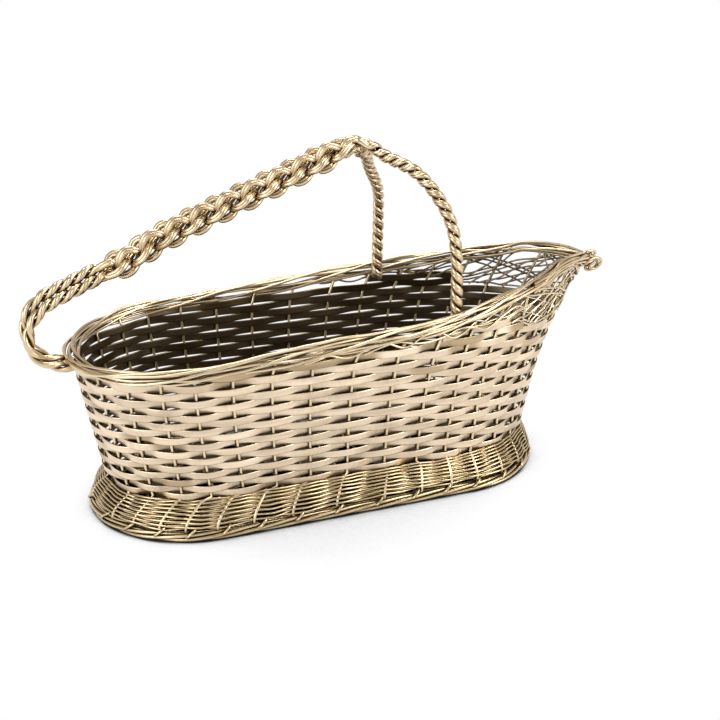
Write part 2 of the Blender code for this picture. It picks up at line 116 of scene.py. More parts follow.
@lru_cache(maxsize=None)
def outline(plan):
    """Points of a plan outline and their shares of its length, anticlockwise from the tip."""
    turn = np.linspace(0.0, 2.0 * pi, OUTLINE_STEPS + 1)
    c = np.cos(turn)
    s = np.sin(turn)
    front_x = plan.front_straight + (plan.front - plan.front_straight) * c
    back_x = -plan.back_straight + (plan.back - plan.back_straight) * c
    front_y = plan.half_width * np.sign(s) * np.abs(s) ** (2.0 * plan.power)
    x = np.where(c >= 0.0, front_x, back_x)
    y = np.where(c >= 0.0, front_y, plan.half_width * s)
    length = np.concatenate([[0.0], np.cumsum(np.hypot(np.diff(x), np.diff(y)))])
    return x, y, length / length[-1]


def on_outline(plan, share, out=0.0):
    """X and Y on a plan outline at a share of its length, moved out along its normal."""
    x, y, shares = outline(plan)

    def at(place):
        place = place % 1.0
        return np.array([np.interp(place, shares, x), np.interp(place, shares, y)])

    along = at(share + TANGENT_SHARE) - at(share - TANGENT_SHARE)
    along = along / np.hypot(*along)
    point = at(share) + out * np.array([along[1], -along[0]])
    return float(point[0]), float(point[1])


def wall_plan(z):
    """Plan of the ribbon wall: it leans out as it rises and sweeps forward into the prow."""
    rise = (z - WAIST_HEIGHT) / (BROW_HEIGHT - WAIST_HEIGHT)
    return Plan(
        WAIST_BACK + BACK_LEAN * rise,
        WAIST_FRONT + FRONT_LEAN * rise + PROW_SWEEP * rise ** 3,
        WAIST_WIDTH / 2 + SIDE_LEAN * rise,
        WAIST_STRAIGHT + BACK_STRAIGHT_GAIN * rise,
        WAIST_STRAIGHT - FRONT_STRAIGHT_LOSS * rise,
        ROUND_POWER + PROW_POWER * rise)


def flare(z):
    """How far the skirt has spread at a height: 0 at the waist, 1 at the hem."""
    drop = (WAIST_HEIGHT - z) / (WAIST_HEIGHT - HEM_HEIGHT)
    return sin(pi / 2 * min(drop, 1.0))


def foot_plan(z):
    spread = flare(z)
    return Plan(
        WAIST_BACK + (HEM_BACK - WAIST_BACK) * spread,
        WAIST_FRONT + (HEM_FRONT - WAIST_FRONT) * spread,
        (WAIST_WIDTH + (HEM_WIDTH - WAIST_WIDTH) * spread) / 2,
        WAIST_STRAIGHT + (HEM_STRAIGHT - WAIST_STRAIGHT) * spread,
        WAIST_STRAIGHT + (HEM_STRAIGHT - WAIST_STRAIGHT) * spread,
        ROUND_POWER)


RIM_PLAN = Plan(RIM_BACK, RIM_FRONT, RIM_WIDTH / 2, RIM_BACK_STRAIGHT, RIM_FRONT_STRAIGHT, 1.0)
RIBBON_TOP = WAIST_HEIGHT + RIBBON_START + RIBBON_ROWS * RIBBON_PITCH


def wall_point(share, z, out=0.0):
    """A point of the stakes' surface, on the wall above the waist and on the skirt below it."""
    plan = wall_plan(z) if z >= WAIST_HEIGHT else foot_plan(z)
    return Vector((*on_outline(plan, share, out), z))


def rim_height(x):
    """Height of the rim: it climbs to a peak before the tip and drops a little at the tip."""
    along = min((x + RIM_BACK) / (RIM_PEAK_X + RIM_BACK), 1.0)
    past = max(0.0, (x - RIM_PEAK_X) / (RIM_FRONT - RIM_PEAK_X))
    return RIM_BACK_HEIGHT + RIM_RISE * along + RIM_LIFT * along ** RIM_LIFT_POWER - RIM_TIP_DROP * past ** 2


def rim_point(share, out=0.0, up=0.0):
    height = rim_height(on_outline(RIM_PLAN, share)[0]) + up
    return Vector((*on_outline(RIM_PLAN, share, out), height))


def upper_point(share, climb, out=0.0):
    """A point between the ribbons' top edge (climb 0) and the rim's middle line (climb 1)."""
    return wall_point(share, RIBBON_TOP, out).lerp(rim_point(share, out), climb)


def upper_surface(share, z):
    """A point of the upper wall at a height."""
    foot = wall_point(share, RIBBON_TOP).z
    return upper_point(share, (z - foot) / (rim_point(share).z - foot))


def foot_point(share, z, out):
    """A point below the hem, placed from the hem's outline."""
    return Vector((*on_outline(foot_plan(HEM_HEIGHT), share, out), z))


def stake_share(stake):
    """Share of the outline at a stake. The spacing is a little uneven, and alike on both sides."""
    lap, place = divmod(stake, STAKES)
    near = np.interp(max(place, STAKES - place), range(STAKES // 2, STAKES + 1), STAKE_PLACES)
    return float(lap + (near if place >= STAKES / 2 else STAKES - near) / STAKES)


def skirt_share(stake, z):
    """Share of a stake on the skirt, where the stakes slant round the foot."""
    return stake_share(stake - STAKE_SLANT * flare(z))


def skirt_surface(share, z):
    return wall_point(skirt_share(share * STAKES, z), z)


def square_to(place, share, z):
    """The outward direction square to a surface given by share and height."""
    climb = place(share, z + CLIMB_STEP) - place(share, z - CLIMB_STEP)
    onward = place(share + TANGENT_SHARE, z) - place(share - TANGENT_SHARE, z)
    return onward.cross(climb).normalized()


def smooth_noise(seed, count, knots):
    """A closed smooth random line of a number of values, between about -1 and 1."""
    rng = np.random.default_rng(seed)
    turn = np.linspace(0.0, 2 * pi, count, endpoint=False)
    line = np.zeros(count)
    for wave in range(1, knots + 1):
        line += rng.normal() / wave ** 0.5 * np.sin(wave * turn + rng.uniform(0, 2 * pi))
    return line / (np.abs(line).max() + 1e-9)


# Node trees


def node(tree, kind, inputs=None, **settings):
    """A new node. Each input is a value or another node's output socket."""
    made = tree.nodes.new(kind)
    for name, value in settings.items():
        setattr(made, name, value)
    for key, value in (inputs or {}).items():
        socket = made.inputs[key]
        if isinstance(value, bpy.types.NodeSocket):
            tree.links.new(value, socket)
        else:
            socket.default_value = value
    return made


def maths(tree, operation, *values):
    return node(tree, "ShaderNodeMath", dict(enumerate(values)), operation=operation).outputs[0]


def scaled(tree, vector, factor):
    return node(tree, "ShaderNodeVectorMath", {0: vector, "Scale": factor}, operation="SCALE").outputs[0]


def vector_sum(tree, first, second):
    return node(tree, "ShaderNodeVectorMath", {0: first, 1: second}, operation="ADD").outputs[0]


def new_group(name, kind, inputs, outputs):
    """A node group with its sockets, its group input and its group output."""
    tree = bpy.data.node_groups.new(name, kind)
    for label, socket_kind, default in inputs:
        socket = tree.interface.new_socket(label, in_out="INPUT", socket_type=socket_kind)
        if default is not None:
            socket.default_value = default
    for label, socket_kind in outputs:
        tree.interface.new_socket(label, in_out="OUTPUT", socket_type=socket_kind)
    return tree, tree.nodes.new("NodeGroupInput").outputs, tree.nodes.new("NodeGroupOutput").inputs


GEOMETRY = "NodeSocketGeometry"
FLOAT = "NodeSocketFloat"
WHOLE = "NodeSocketInt"


def attribute(tree, name, data_type="FLOAT"):
    return node(tree, "GeometryNodeInputNamedAttribute", {"Name": name}, data_type=data_type).outputs[0]


def wander(tree, seed, size, distance):
    """A small random shift that changes slowly along a path."""
    seat = vector_sum(tree, node(tree, "GeometryNodeInputPosition").outputs[0],
                      node(tree, "ShaderNodeCombineXYZ", {0: seed, 1: seed}).outputs[0])
    field = node(tree, "ShaderNodeTexNoise", {"Vector": seat, "Scale": size, "Detail": 1.0})
    middle = node(tree, "ShaderNodeVectorMath", {0: field.outputs["Color"], 1: (0.5, 0.5, 0.5)},
                  operation="SUBTRACT").outputs[0]
    return scaled(tree, middle, distance)


def shape_group(name, sizes):
    """A tree that grows a piece from its path. Its inputs are the path, the sizes and the material."""
    inputs = [("Geometry", GEOMETRY, None)]
    inputs += [(label, WHOLE if isinstance(size, int) else FLOAT, size) for label, size in sizes.items()]
    inputs.append(("Material", "NodeSocketMaterial", None))
    tree, given, out = new_group(name, "GeometryNodeTree", inputs, [("Geometry", GEOMETRY)])
    return tree, given, out, node(tree, "GeometryNodeMeshToCurve", {"Mesh": given["Geometry"]}).outputs[0]


def weave_wave(tree, given):
    """1 at one stake and -1 at the next, with a smooth change between them."""
    turn = maths(tree, "MULTIPLY", maths(tree, "ADD", attribute(tree, "stake"), given["Phase"]), pi)
    return maths(tree, "COSINE", turn)


def shifted(tree, path, first, second):
    """A path moved by two offsets."""
    return node(tree, "GeometryNodeSetPosition",
                {"Geometry": path, "Offset": vector_sum(tree, first, second)}).outputs[0]


def sweep(tree, path, profile, given, out):
    """Sweeps a profile along a path, shades it smooth and gives it its material."""
    swept = node(tree, "GeometryNodeCurveToMesh",
                 {"Curve": path, "Profile Curve": profile, "Fill Caps": True}).outputs[0]
    smooth = node(tree, "GeometryNodeSetShadeSmooth", {"Geometry": swept}).outputs[0]
    coated = node(tree, "GeometryNodeSetMaterial",
                  {"Geometry": smooth, "Material": given["Material"]}).outputs[0]
    solid = node(tree, "GeometryNodeRealizeInstances", {"Geometry": coated}).outputs[0]
    tree.links.new(solid, out["Geometry"])


def sweep_wire(tree, path, given, out):
    """Sweeps a round wire along a path."""
    radius = maths(tree, "MULTIPLY", given["Thickness"], 0.5)
    profile = node(tree, "GeometryNodeCurvePrimitiveCircle",
                   {"Resolution": given["Sides"], "Radius": radius}, mode="RADIUS").outputs[0]
    sweep(tree, path, profile, given, out)


# Under 1, a ribbon lies flatter on its stakes and steps over between them
CRIMP_POWER = 0.8
RIBBON_SWAY_SIZE = 55.0
RIBBON_LEAN_SIZE = 90.0
EDGE_ROUNDING = 0.42
RIBBON_SIDES = 18
# Keeps the random sway of one wire of a rope apart from the next one's
WIRE_SEED_STEP = 3.7


def woven_strip_group():
    """A flat strip that goes outside one stake and inside the next."""
    tree, given, out, curve = shape_group("woven_strip", {
        "Width": 0.003, "Thickness": 0.0004, "Crimp": 0.001, "Phase": 0.0, "Sway": 0.0003, "Lean": 0.1,
        "Seed": 0.0})
    wave = weave_wave(tree, given)
    strength = maths(tree, "POWER", maths(tree, "ABSOLUTE", wave), CRIMP_POWER)
    shaped = maths(tree, "MULTIPLY", maths(tree, "SIGN", wave), strength)
    crimp = maths(tree, "MULTIPLY", shaped, given["Crimp"])
    bend = scaled(tree, attribute(tree, "out", "FLOAT_VECTOR"), crimp)
    moved = shifted(tree, curve, bend, wander(tree, given["Seed"], RIBBON_SWAY_SIZE, given["Sway"]))
    upright = node(tree, "GeometryNodeSetCurveNormal", {"Curve": moved}, mode="Z_UP").outputs[0]
    roll = node(tree, "ShaderNodeTexNoise",
                {"Vector": wander(tree, given["Seed"], 1.0, 1.0), "Scale": RIBBON_LEAN_SIZE}).outputs[0]
    twist = maths(tree, "MULTIPLY", maths(tree, "SUBTRACT", roll, 0.5), given["Lean"])
    tilt = maths(tree, "ADD", attribute(tree, "slope"), twist)
    tilted = node(tree, "GeometryNodeSetCurveTilt", {"Curve": upright, "Tilt": tilt}).outputs[0]
    flat = node(tree, "GeometryNodeCurvePrimitiveQuadrilateral",
                {"Width": given["Thickness"], "Height": given["Width"]}).outputs[0]
    rounding = maths(tree, "MULTIPLY", given["Thickness"], EDGE_ROUNDING)
    rounded = node(tree, "GeometryNodeFilletCurve",
                   {"Curve": flat, "Radius": rounding}, mode="BEZIER").outputs[0]
    profile = node(tree, "GeometryNodeResampleCurve",
                   {"Curve": rounded, "Count": RIBBON_SIDES}, mode="COUNT").outputs[0]
    sweep(tree, tilted, profile, given, out)
    return tree


def laid_wire_group():
    """A round wire along each path, a little uneven, which may go outside one stake and inside the next."""
    tree, given, out, curve = shape_group("laid_wire", {
        "Thickness": 0.001, "Sides": 8, "Sway": 0.0, "Sway Size": 80.0, "Weave": 0.0, "Phase": 0.0,
        "Seed": 0.0})
    wave = maths(tree, "MULTIPLY", weave_wave(tree, given), given["Weave"])
    bend = scaled(tree, attribute(tree, "out", "FLOAT_VECTOR"), wave)
    sway = wander(tree, given["Seed"], given["Sway Size"], given["Sway"])
    sweep_wire(tree, shifted(tree, curve, bend, sway), given, out)
    return tree


def rope_group():
    """Wires laid round one path as a rope. The out and up marks give its reach each way."""
    tree, given, out, curve = shape_group("laid_rope", {
        "Wires": 3, "Turns": 8.0, "Phase": 0.0, "Thickness": 0.0013, "Sides": 8, "Sway": 0.0005,
        "Sway Size": 60.0, "Seed": 0.0})
    copies = node(tree, "GeometryNodeDuplicateElements",
                  {"Geometry": curve, "Amount": given["Wires"]}, domain="SPLINE").outputs
    numbered = node(tree, "GeometryNodeStoreNamedAttribute",
                    {"Geometry": copies["Geometry"], "Name": "wire", "Value": copies["Duplicate Index"]},
                    data_type="FLOAT", domain="CURVE").outputs[0]
    wire = attribute(tree, "wire")
    factor = node(tree, "GeometryNodeSplineParameter").outputs["Factor"]
    laps = maths(tree, "ADD", maths(tree, "MULTIPLY", factor, given["Turns"]),
                 maths(tree, "DIVIDE", wire, given["Wires"]))
    turn = maths(tree, "MULTIPLY", maths(tree, "ADD", laps, given["Phase"]), 2 * pi)
    sideways = scaled(tree, attribute(tree, "out", "FLOAT_VECTOR"), maths(tree, "COSINE", turn))
    upwards = scaled(tree, attribute(tree, "up", "FLOAT_VECTOR"), maths(tree, "SINE", turn))
    seed = maths(tree, "ADD", given["Seed"], maths(tree, "MULTIPLY", wire, WIRE_SEED_STEP))
    sway = wander(tree, seed, given["Sway Size"], given["Sway"])
    sweep_wire(tree, shifted(tree, numbered, vector_sum(tree, sideways, upwards), sway), given, out)
    return tree


# Paths and pieces


def path_mesh(name, lines, closed=False, **marks):
    """Edge mesh of one or more lines, with a value or vector kept at each point for every mark."""
    points = []
    edges = []
    for line in lines:
        start = len(points)
        points += [(p[0] + FOOT_X, p[1], p[2]) for p in line]
        edges += [(start + i, start + i + 1) for i in range(len(line) - 1)]
        if closed:
            edges.append((len(points) - 1, start))
    mesh = bpy.data.meshes.new(name)
    mesh.from_pydata(points, edges, [])
    for mark, values in marks.items():
        flat = np.array(values, dtype=np.float32)
        kind = "FLOAT_VECTOR" if flat.ndim == 2 else "FLOAT"
        field = mesh.attributes.new(mark, kind, "POINT")
        field.data.foreach_set("vector" if kind == "FLOAT_VECTOR" else "value", flat.ravel())
    return mesh


def grown(name, mesh, group, settings, nodes):
    """A finished piece: the node group grows it from its path, and it is kept as a plain mesh."""
    carrier = bpy.data.objects.new(name + "_path", mesh)
    bpy.context.collection.objects.link(carrier)
    growth = carrier.modifiers.new("growth", "NODES")
    growth.node_group = group
    sockets = {item.name: item.identifier for item in group.interface.items_tree
               if item.item_type == "SOCKET" and item.in_out == "INPUT"}
    for label, value in settings.items():
        growth[sockets[label]] = value
    bpy.context.view_layer.update()
    shape = bpy.data.meshes.new_from_object(carrier.evaluated_get(bpy.context.evaluated_depsgraph_get()))
    carrier.modifiers.remove(growth)
    bpy.data.objects.remove(carrier, do_unlink=True)
    shape.name = name
    piece = bpy.data.objects.new(name, shape)
    bpy.context.collection.objects.link(piece)
    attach(piece, "root")
    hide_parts(*nodes)
    return piece


# Metal


CREVICE_REACH = 0.0035
SHELTER_REACH = 0.08
GRAIN_SIZE = 900.0
# Streaks lie level, so their pattern changes fastest up and down
STREAK_SCALE = (24.0, 24.0, 277.0)
# Painted shade: the dark colour that sheltered places and faces turned into the basket go towards
PAINTED_SHADE_COLOUR = (0.050, 0.031, 0.007, 1.0)


def metal_wear_and_painted_light_group():
    """Colour, roughness and fine relief of handled, slightly tarnished metal. The colour also holds painted
    shade in crevices, in sheltered places and on inner faces, and painted reflection through the Shine
    input.
    """
    tree, given, out = new_group("metal_wear_and_painted_light", "ShaderNodeTree", [
        ("Bright", "NodeSocketColor", (0.8, 0.65, 0.45, 1.0)),
        ("Dull", "NodeSocketColor", (0.3, 0.22, 0.12, 1.0)),
        ("Smoothness", FLOAT, 0.3), ("Patch Size", FLOAT, 60.0), ("Dullness", FLOAT, 0.3),
        ("Crevice Low", FLOAT, 0.25), ("Crevice High", FLOAT, 0.85), ("Streaks", FLOAT, 0.1),
        ("Shine", FLOAT, 0.0), ("Painted Inner Shade", FLOAT, 0.0)],
        [("Color", "NodeSocketColor"), ("Roughness", FLOAT), ("Height", FLOAT)])
    seat = node(tree, "ShaderNodeTexCoord").outputs["Object"]

    def noise(place, size, detail, **more):
        inputs = {"Vector": place, "Scale": size, "Detail": detail, **more}
        return node(tree, "ShaderNodeTexNoise", inputs).outputs["Fac"]

    def openness(reach, samples):
        return node(tree, "ShaderNodeAmbientOcclusion", {"Distance": reach}, samples=samples).outputs["AO"]

    def ranged(value, low, high, at_low=0.0, at_high=1.0):
        return node(tree, "ShaderNodeMapRange", {
            "Value": value, "From Min": low, "From Max": high, "To Min": at_low,
            "To Max": at_high}).outputs[0]

    def around(value, middle, strength):
        return maths(tree, "MULTIPLY", maths(tree, "SUBTRACT", value, middle), strength)

    def mixed(share, first, second):
        return node(tree, "ShaderNodeMix", {"Factor": share, 6: first, 7: second},
                    data_type="RGBA").outputs[2]

    patches = noise(seat, given["Patch Size"], 4.0, Roughness=0.6)
    grain = noise(seat, GRAIN_SIZE, 3.0)
    # Crevice darkening from short-reach ambient occlusion: partly patina in the hollows, partly painted
    # shade between neighbouring wires and ribbons
    deep = ranged(openness(CREVICE_REACH, 6), given["Crevice Low"], given["Crevice High"], 1.0, 0.0)
    dull = maths(tree, "MULTIPLY", ranged(patches, 0.5, 0.75), given["Dullness"])
    amount = maths(tree, "MAXIMUM", dull, maths(tree, "MULTIPLY", deep, 0.95))
    speckled = maths(tree, "ADD", amount, around(grain, 0.5, 0.25))
    share = node(tree, "ShaderNodeClamp", {0: speckled}).outputs[0]
    wear_and_crevice_shade = mixed(share, given["Bright"], given["Dull"])
    squashed = node(tree, "ShaderNodeVectorMath", {0: seat, 1: STREAK_SCALE},
                    operation="MULTIPLY").outputs[0]
    uneven = around(noise(squashed, 1.0, 2.0), 0.5, given["Streaks"])
    # Shine is painted reflection: a pass is made brighter or duller as if it caught the room's light
    # differently
    brightness = maths(tree, "ADD", maths(tree, "ADD", uneven, given["Shine"]), 1.0)
    # A dull pass is deeper in colour too
    lack = maths(tree, "MULTIPLY", maths(tree, "MINIMUM", given["Shine"], 0.0), 0.9)
    depth = maths(tree, "SUBTRACT", 1.0, lack)
    varied = node(tree, "ShaderNodeHueSaturation",
                  {"Color": wear_and_crevice_shade, "Value": brightness, "Saturation": depth}).outputs[0]
    # Painted shade: where long-reach ambient occlusion finds a place sheltered by the basket, and on inner
    # faces, the colour goes towards the painted shade colour
    painted_sheltered_shade = ranged(openness(SHELTER_REACH, 4), 0.12, 0.5, 0.85, 0.0)
    inner = maths(tree, "MAXIMUM", painted_sheltered_shade, given["Painted Inner Shade"])
    rough = maths(tree, "ADD", given["Smoothness"], around(patches, 0.45, 0.35))
    tree.links.new(mixed(inner, varied, PAINTED_SHADE_COLOUR), out["Color"])
    tree.links.new(node(tree, "ShaderNodeClamp", {0: rough, 1: 0.12, 2: 0.8}).outputs[0], out["Roughness"])
    tree.links.new(grain, out["Height"])
    return tree


METAL_WEAR_AND_PAINTED_LIGHT = metal_wear_and_painted_light_group()


def metal(name, bright, dull, smoothness, patch_size, dullness, relief, crevice, streaks):
    """A metal of its own colours and wear, with painted shade. Crevices darken between the two given shares
    of openness, partly as patina and partly as painted shade.
    """
    material = bpy.data.materials.new(name)
    material.use_nodes = True
    tree = material.node_tree
    shader = tree.nodes["Principled BSDF"]
    # The group's colour is the metal's own colour and wear, with painted shade and painted reflection mixed
    # in
    wear = node(tree, "ShaderNodeGroup", {
        "Bright": (*bright, 1.0), "Dull": (*dull, 1.0), "Smoothness": smoothness, "Patch Size": patch_size,
        "Dullness": dullness, "Crevice Low": crevice[0], "Crevice High": crevice[1], "Streaks": streaks},
        node_tree=METAL_WEAR_AND_PAINTED_LIGHT).outputs
    bump = node(tree, "ShaderNodeBump", {"Height": wear["Height"], "Strength": relief, "Distance": 0.0002})
    tree.links.new(wear["Color"], shader.inputs["Base Color"])
    tree.links.new(wear["Roughness"], shader.inputs["Roughness"])
    tree.links.new(bump.outputs["Normal"], shader.inputs["Normal"])
    shader.inputs["Metallic"].default_value = 1.0
    return material


def metal_group_node_of(material):
    return next(item for item in material.node_tree.nodes if item.type == "GROUP")


def paint_inner_side_shade(material, amount):
    """Painted shade: the side of a piece that is turned into the basket is darkened."""
    tree = material.node_tree
    outward = node(tree, "ShaderNodeAttribute", attribute_name="out").outputs["Vector"]
    normal = node(tree, "ShaderNodeNewGeometry").outputs["True Normal"]
    facing = node(tree, "ShaderNodeVectorMath", {0: outward, 1: normal},
                  operation="DOT_PRODUCT").outputs["Value"]
    turned_in = node(tree, "ShaderNodeMapRange", {"Value": facing, "From Min": 0.3, "From Max": -0.3,
                                                  "To Min": 0.0, "To Max": amount}).outputs[0]
    tree.links.new(turned_in, metal_group_node_of(material).inputs["Painted Inner Shade"])


def paint_pass_reflections(material):
    """Painted reflection: some passes of a ribbon are brighter or duller than the rest, as if they caught
    the light differently.
    """
    shine = node(material.node_tree, "ShaderNodeAttribute", attribute_name="shine").outputs["Fac"]
    material.node_tree.links.new(shine, metal_group_node_of(material).inputs["Shine"])


RIBBON_METAL = metal("ribbon_metal", (0.87, 0.71, 0.53), (0.14, 0.085, 0.015), 0.36, 80.0, 0.32, 0.25,
                     (0.10, 0.45), 0.70)
STAKE_METAL = metal("stake_metal", (0.90, 0.74, 0.50), (0.10, 0.06, 0.02), 0.30, 80.0, 0.3, 0.2,
                    (0.1, 0.5), 0.2)
RIM_METAL = metal("rim_metal", (0.88, 0.72, 0.49), (0.10, 0.055, 0.012), 0.32, 70.0, 0.4, 0.2,
                  (0.27, 0.62), 0.2)
MESH_METAL = metal("mesh_metal", (0.90, 0.75, 0.52), (0.09, 0.055, 0.02), 0.30, 70.0, 0.3, 0.1,
                   (0.15, 0.7), 0.2)
FOOT_METAL = metal("foot_metal", (0.80, 0.64, 0.40), (0.20, 0.125, 0.020), 0.30, 70.0, 0.60, 0.2,
                   (0.28, 0.85), 0.2)
HANDLE_METAL = metal("handle_metal", (0.80, 0.63, 0.41), (0.17, 0.09, 0.022), 0.31, 60.0, 0.6, 0.04,
                     (0.25, 0.9), 0.2)
# Painted shade on the faces of the ribbons and of the spout mesh that turn into the basket
paint_inner_side_shade(RIBBON_METAL, 0.88)
paint_inner_side_shade(MESH_METAL, 0.75)
paint_pass_reflections(RIBBON_METAL)

WOVEN_STRIP = woven_strip_group()
LAID_WIRE = laid_wire_group()
LAID_ROPE = rope_group()


# Ribbons

RIBBON_STEPS = 10
ROW_DRIFT = 0.00018
# Painted reflection: how much the brightness of the passes differs, and how many are dull and by how much
PASS_SPREAD, DULL_SHARE, DULL_PASS = 0.05, 0.05, -0.35
# The same for the top row, where each pass is painted either bright, as a highlight, or dull
TOP_BRIGHT_SHARE, TOP_BRIGHT, TOP_DULL = 0.55, 0.22, -0.42


def lean_at(place, share, z):
    """How far a surface leans out of the vertical at a place."""
    out = square_to(place, share, z)
    return atan2(-out.z, (out.x ** 2 + out.y ** 2) ** 0.5)


def pass_shine(row, first, last, count):
    """How much brighter or duller each pass of a ribbon is painted, as if it caught the light differently.
    The top row is the most uneven.
    """
    rng = np.random.default_rng(300 + row)
    shine = rng.normal(0.0, PASS_SPREAD, last - first + 1)
    shine[rng.uniform(size=len(shine)) < DULL_SHARE] = DULL_PASS
    if row == RIBBON_ROWS:
        shine = np.where(rng.uniform(size=len(shine)) < TOP_BRIGHT_SHARE, TOP_BRIGHT, TOP_DULL)
    places = np.linspace(0.0, last - first, count)
    nearest = np.floor(places + 0.5)
    blend = np.clip((np.abs(places - nearest) - 0.38) / 0.24, 0.0, 0.5)
    beside = np.clip(nearest + np.sign(places - nearest), 0, last - first).astype(int)
    return shine[nearest.astype(int)] * (1 - blend) + shine[beside] * blend


def make_ribbon(name, row, first, last, surface, closed):
    """One row of ribbon between two stakes, or all the way round."""
    middle = WAIST_HEIGHT + RIBBON_START + row * RIBBON_PITCH + RIBBON_MIDDLE
    count = (last - first) * RIBBON_STEPS + (0 if closed else 1)
    drift = smooth_noise(100 + row, count, 9) * ROW_DRIFT
    points, outs, stakes, slopes = [], [], [], []
    for step in range(count):
        stake = first + step / RIBBON_STEPS
        share = stake_share(stake)
        z = middle + drift[step]
        points.append(surface(share, z))
        outs.append(square_to(surface, share, z))
        slopes.append(lean_at(surface, share, z))
        stakes.append(stake)
    shine = pass_shine(row, first, last, count)
    mesh = path_mesh(name, [points], closed, out=outs, stake=stakes, slope=slopes, shine=shine)
    return grown(name + "_look", mesh, WOVEN_STRIP, {
        "Width": RIBBON_WIDTH, "Thickness": RIBBON_THICKNESS, "Crimp": CRIMP, "Phase": float(1 - row % 2),
        "Sway": 0.00035, "Lean": 0.35, "Seed": row * 1.7, "Material": RIBBON_METAL}, [name])


def make_ribbons():
    for row in range(RIBBON_ROWS):
        make_ribbon(f"ribbon_{row + 1:02d}", row, 0, STAKES, wall_point, True)
    for extra, (first, last) in enumerate(UPPER_ROW_STAKES):
        row = RIBBON_ROWS + extra
        make_ribbon(f"upper_ribbon_far_{extra + 1}", row, first, last, upper_surface, False)
        make_ribbon(f"upper_ribbon_near_{extra + 1}", row, -last, -first, upper_surface, False)


# Stakes

STAKE_TOP_GAP = 0.0016
# Height and place out from the hem where a stake turns in under the foot, and of its bend to the next
STAKE_END = ((0.0043, -0.0026), (0.0024, -0.0030), (0.0013, -0.0030))
STAKE_BEND = (0.0010, -0.0030)


def make_stakes():
    """Each wire makes two neighbouring stakes, with its bend inside the foot."""
    for pair in range(STAKES // 2):
        line = []
        for stake, downward in ((2 * pair, True), (2 * pair + 1, False)):
            share = stake_share(stake)
            top = rim_point(share).z - STAKE_TOP_GAP
            leg = [upper_surface(share, z) for z in np.linspace(top, RIBBON_TOP, 6)[:-1]]
            leg += [wall_point(share, z) for z in np.linspace(RIBBON_TOP, WAIST_HEIGHT, 16)]
            leg += [skirt_surface(share, z) for z in np.linspace(WAIST_HEIGHT, HEM_HEIGHT, 9)[1:]]
            last = skirt_share(stake, HEM_HEIGHT)
            leg += [foot_point(last, *place) for place in STAKE_END]
            line += leg if downward else leg[::-1]
            if downward:
                for between in (0.25, 0.5, 0.75):
                    line.append(foot_point(skirt_share(stake + between, HEM_HEIGHT), *STAKE_BEND))
        name = f"stake_pair_{pair + 1:02d}"
        grown(name + "_look", path_mesh(name, [line]), LAID_WIRE, {
            "Thickness": STAKE_WIRE, "Sides": 10, "Sway": 0.0002, "Sway Size": 70.0, "Seed": pair * 2.3,
            "Material": STAKE_METAL}, [name])


# Rim

RIM_STEPS = 16 * STAKES
RIM_ROPES = (
    # name, wires, turns, phase, reach out, reach up, wire, hump, node
    ("rim_outer_wires", 4, 4.0, 0.10, 0.0021, 0.0031, 0.00135, 0.0, "rim_strand_a"),
    ("rim_inner_wires", 3, -3.0, 0.0, 0.0010, 0.0019, 0.00135, 0.0, "rim_strand_b"),
    ("rim_loose_wires", 2, 1.0, -0.47, 0.0018, 0.0027, 0.0014, 0.0020, "rim_strand_c"))
HUMP_SHARE, HUMP_LENGTH = 0.715, 0.055
# Round the back end, over this share of the outline, the bundle lies further in, wider and flatter
BACK_LENGTH, BACK_INSET, BACK_SPREAD, BACK_FLATNESS = 0.06, 0.0018, 0.6, 0.4
# From this many stakes before the tip the bundle and its wires get thinner, down to these shares at the tip
TIP_STAKES, TIP_BUNDLE, TIP_WIRE = 3.5, 0.80, 0.66
# How much the rim sags before the tip and rises at it
TIP_SAG = 0.0014


def bell(value, middle, width):
    return exp(-((value - middle) / width) ** 2)


def tip_lift(from_tip):
    """The rim sags a little before the tip and ends a little higher."""
    return TIP_SAG * bell(from_tip, 0.0, 0.6) - TIP_SAG * bell(from_tip, 2.2, 1.0)


def make_rim():
    """A loose bundle: flat and open at the back, upright along the sides, narrow at the tip."""

    def thinned(from_tip, share_left):
        return min(1.0, share_left + (1 - share_left) * from_tip / TIP_STAKES)

    for name, wires, turns, phase, reach_out, reach_up, wire, hump, node_name in RIM_ROPES:
        points, outs, ups, thinning = [], [], [], []
        for step in range(RIM_STEPS):
            share = step / RIM_STEPS
            back = bell(share, 0.5, BACK_LENGTH)
            from_tip = min(share, 1 - share) * STAKES
            lift = hump * bell(share, HUMP_SHARE, HUMP_LENGTH) + tip_lift(from_tip)
            points.append(rim_point(share, -BACK_INSET * back, lift))
            side = Vector(on_outline(RIM_PLAN, share, 1.0)) - Vector(on_outline(RIM_PLAN, share))
            narrow = thinned(from_tip, TIP_BUNDLE)
            flat = reach_out * (1 + BACK_SPREAD * back) * narrow
            outs.append((side.x * flat, side.y * flat, 0.0))
            ups.append((0.0, 0.0, reach_up * (1 - BACK_FLATNESS * back) * narrow))
            thinning.append(thinned(from_tip, TIP_WIRE))
        mesh = path_mesh(name, [points], True, out=outs, up=ups, radius=thinning)
        grown(name, mesh, LAID_ROPE, {
            "Wires": wires, "Turns": turns, "Phase": phase, "Thickness": wire, "Sides": 10,
            "Sway": 0.0022, "Sway Size": 40.0, "Seed": 10 * reach_out, "Material": RIM_METAL},
            [node_name])


# Spout mesh and curls

MESH_STEPS = 24
MESH_REACH = 6.0
MESH_WIRE = 0.00095
# Where the wires of the mesh start on each side, counted in stakes from the tip, and how far apart
LONG_STARTS = (-4.9, 0.7, 0.62)
STEEP_STARTS = (-4.9, 0.1, 0.55)
# Wires that stray along the upper wall behind the mesh: first stake, how far up, number of waves
STRAY_WIRES = ((-9.6, 0.62, 3.2), (-8.0, 0.55, 2.6))
STRAY_REACH, STRAY_STEPS = 4.6, 60


